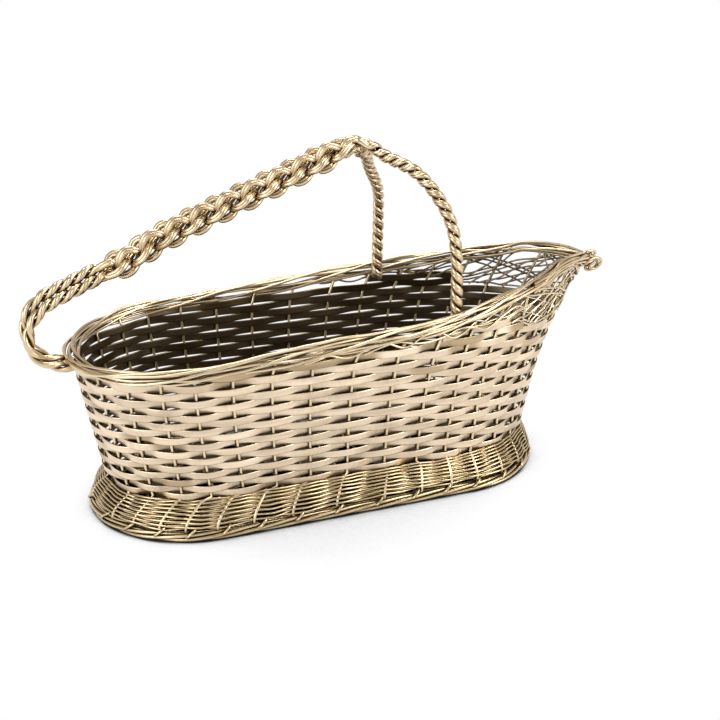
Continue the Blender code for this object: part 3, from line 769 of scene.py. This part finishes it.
def mesh_foot(stake):
    """How far up the mesh starts: over the part rows of ribbon where there are any."""
    return float(np.interp(abs(stake), (2.8, 3.3, 3.8, 4.3, 6.0), (0.0, 0.22, 0.26, 0.46, 0.55)))


def mesh_line(start, travel, out):
    """One wire of the mesh, from the ribbons' edge up to the rim."""
    line = []
    for step in range(MESH_STEPS + 1):
        rise = step / MESH_STEPS
        stake = start + travel * rise
        climb = mesh_foot(stake) + (0.93 - mesh_foot(stake)) * rise
        spot = upper_point(stake / STAKES, climb)
        line.append(spot + square_to(upper_surface, stake / STAKES, spot.z) * out)
    return line


def away_from_middle(point):
    """The level direction away from the long middle line of the basket."""
    return Vector((max(point.x - 0.09, 0.0), point.y, 0.0)).normalized()


def make_spout_mesh():
    """Long wires that run forward under the rim, crossed by short steep ones, and a few that stray back."""
    rng = np.random.default_rng(12)
    long_wires, steep_wires = [], []
    for side in (1, -1):
        for start in np.arange(*LONG_STARTS):
            start += rng.uniform(-0.2, 0.2)
            travel = rng.uniform(2.2, 3.8)
            long_wires.append(mesh_line(side * start, side * travel, rng.uniform(0.0003, 0.0014)))
        for start in np.arange(*STEEP_STARTS):
            start += rng.uniform(-0.15, 0.15)
            steep_wires.append(mesh_line(side * start, side * rng.uniform(0.6, 1.4), -0.0004))
        for first, climb, waves in STRAY_WIRES:
            line = []
            for step in range(STRAY_STEPS + 1):
                stake = first + STRAY_REACH * step / STRAY_STEPS
                sweep = 0.16 * sin(2 * pi * waves * step / STRAY_STEPS + 9 * climb)
                out = 0.0019 + 0.0006 * cos(waves * step / 9)
                line.append(upper_point(side * stake / STAKES, climb + sweep, out))
            long_wires.append(line)
    edge = []
    for stake in np.linspace(-MESH_REACH, MESH_REACH, 121):
        spot = upper_point(stake / STAKES, mesh_foot(stake) + 0.02)
        edge.append(spot + square_to(upper_surface, stake / STAKES, spot.z) * 0.0009)
    long_wires.append(edge)
    for name, node_name, lines in (("spout_long_wires", "spout_web_outer", long_wires),
                                   ("spout_steep_wires", "spout_web_inner", steep_wires)):
        outs = [away_from_middle(point) for line in lines for point in line]
        mesh = path_mesh(name, lines, out=outs)
        grown(name, mesh, LAID_WIRE, {
            "Thickness": MESH_WIRE, "Sides": 8, "Sway": 0.0038, "Sway Size": 60.0, "Seed": 4.0,
            "Material": MESH_METAL}, [node_name])


MM = 0.001
CURL_SPACING = 0.0014
# The two loops at the tip: how thick and how high their wires run along the rim, and the loop's shape
# forward of and above the tip in millimetres
CURLS = (
    ("spout_curl_upper", 0.0014, 0.0016, (
        (-3.2, 3.0), (0.8, 4.9), (3.4, 5.1), (5.0, 3.9), (4.7, 2.3), (3.1, 1.8), (2.1, 2.7), (2.9, 3.7))),
    ("spout_curl_lower", 0.0015, -0.0012, (
        (-3.0, -2.0), (1.6, 0.3), (5.3, 1.0), (8.0, 0.3), (9.2, -1.4), (8.3, -3.3), (5.6, -4.7), (3.0, -4.2),
        (3.0, -2.7), (5.6, -1.5))))


def make_curls():
    """Two loops at the tip, each of two wires that come up along the near rim."""
    tip = rim_point(0.0)
    for name, wire, up, shape in CURLS:
        lines = []
        for beside in (0.0, CURL_SPACING):
            knots = [rim_point(stake / STAKES, 0.0016, up + tip_lift(-stake) - beside)
                     for stake in (-3.0, -2.4, -1.8, -1.2)]
            for number, (forward, rise) in enumerate(shape):
                away = 0.0014 * number / len(shape) - 0.0010 + beside
                knots.append(tip + Vector((forward * MM - beside, away, rise * MM - beside * 0.6)))
            lines.append(smooth_line(knots, 0.0004))
        grown(name + "_look", path_mesh(name, lines), LAID_WIRE, {
            "Thickness": wire, "Sides": 12, "Seed": 2.0, "Material": HANDLE_METAL}, [name])


# Foot

WEAVER_ROWS = 16
WEAVER_STEPS = 8
WEAVER_WIRE = 0.00105
WEAVER_INSET = 0.0003
# How much closer together the rows lie at the skirt's top
ROW_SQUEEZE = 0.38


def make_foot_weavers():
    """Two wires that chase each other up the skirt, and lie closer together at its top."""
    low = HEM_HEIGHT + 0.0008
    high = WAIST_HEIGHT - 0.0006
    turns = WEAVER_ROWS / 2
    count = int(turns * STAKES * WEAVER_STEPS)
    for weaver, name in enumerate("ab"):
        line, outs, stakes = [], [], []
        for step in range(count + 1):
            rise = step / count
            z = low + (high - low) * ((1 + ROW_SQUEEZE) * rise - ROW_SQUEEZE * rise ** 2)
            stake = step / WEAVER_STEPS + weaver * STAKES // 2
            share = stake / STAKES
            outs.append(square_to(skirt_surface, share, z))
            line.append(skirt_surface(share, z) - outs[-1] * WEAVER_INSET)
            stakes.append(stake)
        mesh = path_mesh(name, [line], out=outs, stake=stakes)
        grown(f"foot_weaver_{name}_look", mesh, LAID_WIRE, {
            "Thickness": WEAVER_WIRE, "Sides": 8, "Weave": 0.00085, "Phase": float(weaver), "Sway": 0.0028,
            "Sway Size": 65.0, "Seed": 30.0 + weaver, "Material": FOOT_METAL},
            [f"foot_weaver_{name}"])


BORDER_HEIGHT = 0.0024
# A tie's way over the border: onward in stakes, height and place out from the hem
TIE_WAY = ((0.08, 0.0066, -0.0008), (0.03, 0.0060, 0.0008), (-0.06, 0.0048, 0.0017), (-0.13, 0.0037, 0.0020),
           (-0.17, 0.0030, 0.0012))
RING_WIRE = 0.0024
RING_TUCK = 0.00515


def hem_side(share):
    """The level direction square to the hem."""
    plan = foot_plan(HEM_HEIGHT)
    return Vector((*on_outline(plan, share, 1.0), 0.0)) - Vector((*on_outline(plan, share), 0.0))


def make_border():
    """Thick wires with a long lay along the hem, and the short ties where the stakes turn over them."""
    steps = 16 * STAKES
    shares = [step / steps for step in range(steps)]
    points = [foot_point(share, BORDER_HEIGHT, -0.0002) for share in shares]
    outs = [hem_side(share) * 0.0013 for share in shares]
    mesh = path_mesh("border", [points], True, out=outs, up=[(0.0, 0.0, 0.0014)] * steps)
    grown("foot_border_wires", mesh, LAID_ROPE, {
        "Wires": 4, "Turns": 6.0, "Phase": 0.0, "Thickness": 0.0017, "Sides": 12, "Sway": 0.0005,
        "Sway Size": 40.0, "Seed": 50.0, "Material": FOOT_METAL}, ["foot_border_a"])
    ties = []
    for stake in range(STAKES):
        place = skirt_share(stake, HEM_HEIGHT)
        knots = [foot_point(place + onward / STAKES, z, out) for onward, z, out in TIE_WAY]
        ties.append(smooth_line(knots, 0.0006))
    grown("foot_border_ties", path_mesh("ties", ties), LAID_WIRE, {
        "Thickness": 0.0013, "Sides": 8, "Seed": 51.0, "Material": FOOT_METAL},
        ["foot_border_b"])


def make_ring():
    """The thick wire inside the border on which the basket stands."""
    steps = 8 * STAKES
    points = [foot_point(step / steps, RING_WIRE / 2, -RING_TUCK) for step in range(steps)]
    grown("foot_ground_ring_look", path_mesh("ring", [points], True), LAID_WIRE, {
        "Thickness": RING_WIRE, "Sides": 12, "Seed": 3.0, "Material": FOOT_METAL},
        ["foot_ground_ring"])


# Floor

FLOOR_HEIGHT = 0.0120
FLOOR_PASSES = 13
FLOOR_PITCH = 0.0155
# How far the floor ends inside the skirt, and the bend of its wire beyond a straight pass
FLOOR_INSET = 0.0039
FLOOR_BEND = 0.0030
FLOOR_WIRE = 0.0014
SLATS = 5
SLAT_PITCH = 0.0110
SLAT_WIDTH = 0.0090
SLAT_THICKNESS = 0.0006
# A slat ends where the floor is less than this much wider than the slat's middle line
SLAT_MARGIN = 0.0070


def floor_half_width(x):
    xs, ys, _ = outline(foot_plan(FLOOR_HEIGHT))
    far = ys >= 0.0
    order = np.argsort(xs[far])
    return float(np.interp(x, xs[far][order], ys[far][order])) - FLOOR_INSET


def pass_x(number):
    return (number - (FLOOR_PASSES - 1) / 2) * FLOOR_PITCH + (WAIST_FRONT - WAIST_BACK) / 2


def make_floor():
    """One wire laid to and fro, and the slats woven through it."""
    line = []
    for number in range(FLOOR_PASSES):
        x = pass_x(number)
        sign = 1 if number % 2 else -1
        reach = floor_half_width(x) - FLOOR_BEND
        for across in np.linspace(-reach, reach, 9):
            line.append(Vector((x, sign * across, FLOOR_HEIGHT)))
        if number < FLOOR_PASSES - 1:
            following = floor_half_width(pass_x(number + 1)) - FLOOR_BEND
            for turn in np.linspace(0.0, pi, 9)[1:-1]:
                y = sign * (min(reach, following) + 0.0028 * sin(turn))
                line.append(Vector((x + FLOOR_PITCH * (1 - cos(turn)) / 2, y, FLOOR_HEIGHT)))
    grown("floor_wire_look", path_mesh("floor", [line]), LAID_WIRE, {
        "Thickness": FLOOR_WIRE, "Sides": 10, "Seed": 6.0, "Material": FOOT_METAL},
        ["floor_wire"])
    for slat in range(SLATS):
        y = (slat - (SLATS - 1) / 2) * SLAT_PITCH
        reach = abs(y) + SLAT_MARGIN
        crossed = [n for n in range(FLOOR_PASSES) if floor_half_width(pass_x(n)) > reach]
        stakes = np.linspace(crossed[0], crossed[-1], 10 * (len(crossed) - 1) + 1)
        line = [Vector((pass_x(n), y, FLOOR_HEIGHT)) for n in stakes]
        mesh = path_mesh("slat", [line], out=[(0.0, 0.0, -1.0)] * len(line), stake=stakes,
                         slope=[pi / 2] * len(line), shine=[0.0] * len(line))
        name = f"floor_slat_{slat + 1}"
        grown(name + "_look", mesh, WOVEN_STRIP, {
            "Width": SLAT_WIDTH, "Thickness": SLAT_THICKNESS, "Crimp": 0.0013,
            "Phase": float(slat % 2), "Sway": 0.0002, "Lean": 0.05, "Seed": 70.0 + slat,
            "Material": RIBBON_METAL},
            [name])


# Handle

HANDLE_REACH = 0.1348
HANDLE_TOP = 0.1616
HANDLE_SHARES = (
    (-0.858, 0.468), (-0.905, 0.474), (-0.942, 0.486), (-0.983, 0.513), (-1.000, 0.550), (-0.994, 0.603),
    (-0.943, 0.652), (-0.850, 0.686), (-0.754, 0.717), (-0.659, 0.741), (-0.545, 0.792),
    (-0.359, 0.852), (-0.201, 0.900), (-0.064, 0.941), (0.083, 0.988), (0.135, 1.000))
LEG_FORWARD = 0.0323
LEG_SIDE = 0.0353
LEG_SKEW = 0.0040
LEG_END_HEIGHT = 0.0840
# Ways of the near and the far leg: forward, out and up
NEAR_LEG = (
    (0.37, 0.10, 0.935), (0.66, 0.49, 0.850), (0.89, 0.80, 0.665), (0.97, 0.96, 0.440), (1.00, 1.00, 0.000))
FAR_LEG = (
    (0.26, 0.10, 0.930), (0.52, 0.43, 0.800), (0.86, 0.77, 0.620), (0.98, 0.95, 0.420), (1.00, 1.00, 0.000))
HANDLE_WIRE = 0.00232
# Half the distance between a strand's two wires, and how far the strand lies from the middle of its rope
REAR_PAIR, REAR_RADIUS = 0.00040, 0.00142
LINK_PAIR = 0.00058
LEG_PAIR, LEG_RADIUS = 0.00048, 0.00168
ROPE_SPACING = 0.0049
REAR_LAY = 0.0140
LEG_LAY = 0.0108
LINK = 0.0126
LINKS = 10
LINK_RISE = 0.0124
LINK_TILT = radians(125)
LINK_END_GAP = -0.0002
LINK_TAIL = 0.25
STRAND_STEP = 0.0006
LAY_KNOTS = 14
# Turn in degrees at which the far and the near rope start, behind the links and below them
REAR_TURNS = {1: 250, -1: 42}
LEG_TURNS = {1: 329, -1: 20}
# At the back end the ropes turn round each other and lie closer and looser, over these lengths
BACK_TURN, BACK_TURN_LENGTH = radians(110), 0.050
BACK_SPACING, BACK_SPACING_LENGTH = 0.55, 0.040
BACK_LOOSENESS, BACK_LOOSE_LENGTH = 0.20, 0.045
# Where the ropes start to turn side by side before the links end, and over which length
PARTING_START, PARTING_LENGTH = 0.014, 0.034
# The way of a strand through the linked stretch in lengths of a link: onward, up and to the front
RING_WAY = (
    (-0.75, 0.29, -0.21), (-0.66, 0.41, -0.21), (-0.50, 0.48, -0.19), (-0.33, 0.45, -0.16),
    (-0.18, 0.36, -0.16), (-0.10, 0.20, -0.20), (-0.06, 0.00, -0.18), (0.05, -0.18, -0.02),
    (0.20, -0.27, 0.12), (0.36, -0.28, 0.18), (0.55, -0.22, 0.22), (0.72, -0.12, 0.19),
    (0.88, -0.01, 0.09), (1.05, 0.10, -0.06), (1.20, 0.19, -0.17))
ARC_WAY = (
    (-0.50, 0.00, 0.08), (-0.38, 0.12, 0.20), (-0.22, 0.22, 0.28), (-0.05, 0.27, 0.30),
    (0.12, 0.24, 0.28), (0.28, 0.15, 0.22), (0.40, 0.05, 0.10), (0.46, -0.08, -0.08),
    (0.47, -0.22, -0.18), (0.54, -0.33, -0.18), (0.70, -0.38, -0.14), (0.87, -0.36, -0.12),
    (1.02, -0.28, -0.16), (1.14, -0.19, -0.17), (1.30, -0.11, -0.08))


def between_knots(a, b, c, d, t):
    return 0.5 * ((2 * b) + (c - a) * t + (2 * a - 5 * b + 4 * c - d) * t ** 2
                  + (3 * b - a - 3 * c + d) * t ** 3)


def smooth_line(knots, spacing):
    """A dense smooth line through a few points."""
    ends = [knots[0] * 2 - knots[1]] + list(knots) + [knots[-1] * 2 - knots[-2]]
    points = []
    for a, b, c, d in zip(ends, ends[1:], ends[2:], ends[3:]):
        steps = max(1, round((c - b).length / spacing))
        points += [between_knots(a, b, c, d, step / steps) for step in range(steps)]
    points.append(knots[-1])
    return points


def route_of(knots):
    """A smooth line with the length up to each of its points."""
    dense = np.array([tuple(point) for point in smooth_line(knots, 0.001)])
    length = np.concatenate([[0.0], np.cumsum(np.linalg.norm(np.diff(dense, axis=0), axis=1))])
    return dense, length


def on_route(route, distance):
    dense, length = route
    return Vector([float(np.interp(distance, length, dense[:, axis])) for axis in range(3)])


def arch_knots():
    return [Vector((x * HANDLE_REACH, 0.0, z * HANDLE_TOP)) for x, z in HANDLE_SHARES]


@lru_cache(maxsize=None)
def handle_route(side):
    """The middle line of the handle, up to the apex and down one leg."""
    knots = arch_knots()
    apex = knots[-1]
    for forward, out, up in FAR_LEG if side > 0 else NEAR_LEG:
        x = apex.x + forward * LEG_FORWARD - side * out * LEG_SKEW
        knots.append(Vector((x, side * out * LEG_SIDE, LEG_END_HEIGHT + up * (HANDLE_TOP - LEG_END_HEIGHT))))
    return route_of(knots)


def ease(value):
    value = min(max(value, 0.0), 1.0)
    return value * value * (3 - 2 * value)


def handle_section(route, distance, tilt):
    """A place on the middle line, with the directions toward the upper rope and to the front."""
    total = route[1][-1]
    along = (on_route(route, min(distance + 0.0016, total))
             - on_route(route, max(distance - 0.0016, 0.0))).normalized()
    across = Vector((0.0, 1.0, 0.0))
    across = (across - along * across.dot(along)).normalized()
    over = across.cross(along)
    upper = (across * cos(tilt) + over * sin(tilt)) * -1
    return on_route(route, distance), upper, along.cross(upper)


def handle_strand(side, strand):
    """Two wires side by side: a strand of a rope, of the linked stretch and of a leg."""
    route = handle_route(side)
    total = route[1][-1]
    link_end = route_of(arch_knots())[1][-1] - LINK_END_GAP
    link_start = link_end - LINKS * LINK
    rear_turn = radians(REAR_TURNS[side]) + pi * strand
    leg_turn = radians(LEG_TURNS[side]) + pi * (strand + LINKS)
    leg_start = link_end + (LINK_TAIL + 0.2) * LINK
    knots, facings, pairs = [], [], []

    def rope_knot(distance, turn, tilt, closeness, radius, pair):
        place, upper, front = handle_section(route, distance, tilt)
        facing = upper * sin(turn) + front * cos(turn)
        knots.append(place - upper * side * ROPE_SPACING / 2 * closeness + facing * radius)
        facings.append(facing)
        pairs.append(pair)

    for distance in np.arange(0.0, link_start - 0.2 * LINK, REAR_LAY / LAY_KNOTS):
        turned = BACK_TURN * (1 - ease(distance / BACK_TURN_LENGTH))
        laid = distance + BACK_LOOSENESS * max(BACK_LOOSE_LENGTH - distance, 0.0)
        closeness = BACK_SPACING + (1 - BACK_SPACING) * ease(distance / BACK_SPACING_LENGTH)
        rope_knot(distance, rear_turn + 2 * pi * (laid - link_start) / REAR_LAY, LINK_TILT + turned,
                  closeness, REAR_RADIUS, REAR_PAIR)
    way = RING_WAY if side > 0 else ARC_WAY
    for lap in range(-1, LINKS // 2 + 2):
        for onward, up, forth in way:
            links = onward + 2 * lap - strand
            if 0.15 < links < LINKS + LINK_TAIL:
                place, upper, front = handle_section(route, link_start + links * LINK, LINK_TILT)
                size = LINK_RISE * (1 - 0.5 * ease(links - LINKS + 1.1))
                knots.append(place + upper * up * size + front * forth * size)
                facings.append(front)
                pairs.append(LINK_PAIR)
    for distance in np.arange(leg_start, total, LEG_LAY / LAY_KNOTS):
        turned = ease((distance - link_end + PARTING_START) / PARTING_LENGTH)
        rope_knot(distance, leg_turn + 2 * pi * (distance - leg_start) / LEG_LAY, LINK_TILT * (1 - turned),
                  1.0, LEG_RADIUS, LEG_PAIR)
    middle = smooth_line(knots, STRAND_STEP)
    where = np.concatenate([[0.0], np.cumsum([(b - a).length for a, b in zip(knots, knots[1:])])])
    run = np.concatenate([[0.0], np.cumsum([(b - a).length for a, b in zip(middle, middle[1:])])])
    run *= where[-1] / run[-1]
    face = np.array([tuple(facing) for facing in facings])
    wires = ([], [])
    for number, point in enumerate(middle):
        onward = middle[min(number + 1, len(middle) - 1)] - middle[max(number - 1, 0)]
        facing = Vector([float(np.interp(run[number], where, face[:, axis])) for axis in range(3)])
        beside = onward.cross(facing).normalized() * float(np.interp(run[number], where, pairs))
        wires[0].append(point + beside)
        wires[1].append(point - beside)
    return wires


def make_handle():
    """Both ropes, each of two strands."""
    for side_name, side in (("far", 1), ("near", -1)):
        for strand, letter in enumerate("ab"):
            wires = handle_strand(side, strand)
            name = f"handle_{side_name}_strand_{letter}"
            grown(name + "_look", path_mesh(name, wires), LAID_WIRE, {
                "Thickness": HANDLE_WIRE, "Sides": 12, "Sway": 0.0003, "Sway Size": 60.0,
                "Seed": 80.0 + strand + 2 * side, "Material": HANDLE_METAL}, [name])


# Stage, light and camera


TABLE_HALF = 1.6
# How far forward the shadow behind the basket shifts for each length that it reaches back
SHADOW_SLANT = 0.37


def make_stage():
    """A white table. Its glow to the camera and in reflections is darkened where the basket covers it and in
    a band behind it, a painted shadow.
    """
    material = bpy.data.materials.new("table")
    material.use_nodes = True
    tree = material.node_tree
    shader = tree.nodes["Principled BSDF"]
    shader.inputs["Base Color"].default_value = (0.80, 0.77, 0.72, 1.0)
    shader.inputs["Roughness"].default_value = 0.6
    # Painted shade: the glow dims where ambient occlusion finds the table covered
    cover = node(tree, "ShaderNodeAmbientOcclusion", {"Distance": 0.12}, samples=8).outputs["AO"]
    light = node(tree, "ShaderNodeMapRange",
                 {"Value": cover, "From Min": 0.38, "From Max": 0.62, "To Min": 0.02}).outputs[0]
    seat = node(tree, "ShaderNodeTexCoord").outputs["Object"]
    spot = node(tree, "ShaderNodeSeparateXYZ", {0: seat}).outputs

    def outside(fall, near, far):
        """0 within the foot's outline, swept back by the length of a shadow, and 1 outside it."""
        swept = maths(tree, "MINIMUM", maths(tree, "MAXIMUM", spot["Y"], 0.0), fall)
        across = maths(tree, "SUBTRACT", spot["Y"], swept)
        middle = maths(tree, "ADD", FOOT_X, maths(tree, "MULTIPLY", swept, SHADOW_SLANT))
        onward = maths(tree, "ABSOLUTE", maths(tree, "SUBTRACT", spot["X"], middle))
        past = maths(tree, "MAXIMUM", maths(tree, "SUBTRACT", onward, HEM_STRAIGHT), 0.0)
        reach = maths(tree, "SQRT", maths(tree, "ADD", maths(tree, "MULTIPLY", past, past),
                                          maths(tree, "MULTIPLY", across, across)))
        return node(tree, "ShaderNodeMapRange",
                    {"Value": reach, "From Min": near, "From Max": far}).outputs[0]

    # Painted shadow: dark under the foot, and lighter in a band swept back behind the basket
    under = maths(tree, "MAXIMUM", outside(0.0, 0.0445, 0.0490), 0.01)
    behind = node(tree, "ShaderNodeMapRange", {0: outside(0.045, 0.025, 0.047), "To Min": 0.15}).outputs[0]
    light = maths(tree, "MULTIPLY", light, maths(tree, "MULTIPLY", under, behind))
    glow = node(tree, "ShaderNodeEmission", {"Color": (1.0, 1.0, 1.0, 1.0), "Strength": light}).outputs[0]
    path = node(tree, "ShaderNodeLightPath").outputs
    seen = maths(tree, "MAXIMUM", path["Is Camera Ray"], path["Is Glossy Ray"])
    mixed = node(tree, "ShaderNodeMixShader", {0: seen, 1: shader.outputs[0], 2: glow}).outputs[0]
    tree.links.new(mixed, tree.nodes["Material Output"].inputs["Surface"])
    mesh = bpy.data.meshes.new("table")
    corners = [(x * TABLE_HALF, y * TABLE_HALF, 0.0) for x, y in ((-1, -1), (1, -1), (1, 1), (-1, 1))]
    mesh.from_pydata(corners, [], [(0, 1, 2, 3)])
    mesh.materials.append(material)
    table = bpy.data.objects.new("table", mesh)
    table.location.z = -0.0001
    bpy.context.collection.objects.link(table)


# Brightness and colour of the room by height, from the level of the table to straight up
ROOM = ((0.0, (0.90, 0.88, 0.86)), (0.25, (0.75, 0.72, 0.68)), (0.45, (0.28, 0.25, 0.22)),
        (0.75, (0.20, 0.18, 0.16)), (1.0, (0.55, 0.52, 0.48)))


def make_world():
    """The room's light, with plain white where the camera looks past the basket."""
    world = bpy.data.worlds.new("room")
    bpy.context.scene.world = world
    world.use_nodes = True
    tree = world.node_tree
    backdrop = tree.nodes["Background"]
    backdrop.inputs["Color"].default_value = (1.0, 1.0, 1.0, 1.0)
    backdrop.inputs["Strength"].default_value = 1.0
    direction = node(tree, "ShaderNodeTexCoord").outputs["Generated"]
    height = node(tree, "ShaderNodeSeparateXYZ", {0: direction}).outputs["Z"]
    ramp = node(tree, "ShaderNodeValToRGB", {0: height})
    stops = ramp.color_ramp.elements
    while len(stops) < len(ROOM):
        stops.new(0.5)
    for stop, (position, colour) in zip(stops, ROOM):
        stop.position = position
        stop.color = (*colour, 1.0)
    room = node(tree, "ShaderNodeBackground", {"Color": ramp.outputs["Color"], "Strength": 1.0}).outputs[0]
    seen = node(tree, "ShaderNodeLightPath").outputs["Is Camera Ray"]
    mixed = node(tree, "ShaderNodeMixShader", {0: seen, 1: room, 2: backdrop.outputs[0]}).outputs[0]
    tree.links.new(mixed, tree.nodes["World Output"].inputs["Surface"])


LAMP_AIM = Vector((0.0, 0.0, 0.05))
LAMPS = (
    # name, place, width and height, power, colour
    ("window_left", (-0.9, -0.5, 0.7), (0.7, 0.9), 7.2, (0.93, 0.96, 1.0)),
    ("window_right", (0.9, -0.9, 0.8), (0.5, 0.7), 10.6, (1.0, 0.97, 0.92)),
    ("lamp_above", (0.1, 0.3, 1.2), (0.5, 0.3), 8.0, (1.0, 0.96, 0.9)))


def make_light():
    for name, place, size, power, colour in LAMPS:
        lamp = bpy.data.lights.new(name, "AREA")
        lamp.shape = "RECTANGLE"
        lamp.size, lamp.size_y = size
        lamp.energy = power
        lamp.color = colour
        item = bpy.data.objects.new(name, lamp)
        item.location = place
        item.rotation_mode = "QUATERNION"
        item.rotation_quaternion = (LAMP_AIM - Vector(place)).to_track_quat("-Z", "Y")
        bpy.context.collection.objects.link(item)


CAMERA_TURN, CAMERA_RISE, CAMERA_ROLL = radians(-20.28), radians(27.69), radians(-0.33)
CAMERA_DISTANCE = 0.6


def make_camera():
    """The photograph's viewing angle, aimed at the middle of the foot."""
    turn, rise, roll = CAMERA_TURN, CAMERA_RISE, CAMERA_ROLL
    back = Vector((sin(turn) * cos(rise), -cos(turn) * cos(rise), sin(rise)))
    level = Vector((cos(turn), sin(turn), 0.0))
    upward = back.cross(level)
    right = level * cos(roll) + upward * sin(roll)
    up = upward * cos(roll) - level * sin(roll)
    lens = bpy.data.cameras.new("camera")
    lens.sensor_width = 36.0
    lens.lens = 59.125
    lens.shift_x = 0.0581
    lens.shift_y = 0.1529
    lens.clip_start = 0.01
    camera = bpy.data.objects.new("camera", lens)
    place = back * CAMERA_DISTANCE + Vector((FOOT_X, 0.0, 0.0))
    camera.matrix_world = Matrix((
        (right.x, up.x, back.x, place.x), (right.y, up.y, back.y, place.y),
        (right.z, up.z, back.z, place.z), (0.0, 0.0, 0.0, 1.0)))
    bpy.context.collection.objects.link(camera)
    bpy.context.scene.camera = camera


make_ribbons()
make_stakes()
make_rim()
make_spout_mesh()
make_curls()
make_foot_weavers()
make_border()
make_ring()
make_floor()
make_handle()
make_stage()
make_world()
make_light()
make_camera()
bpy.context.scene.view_settings.view_transform = "Standard"
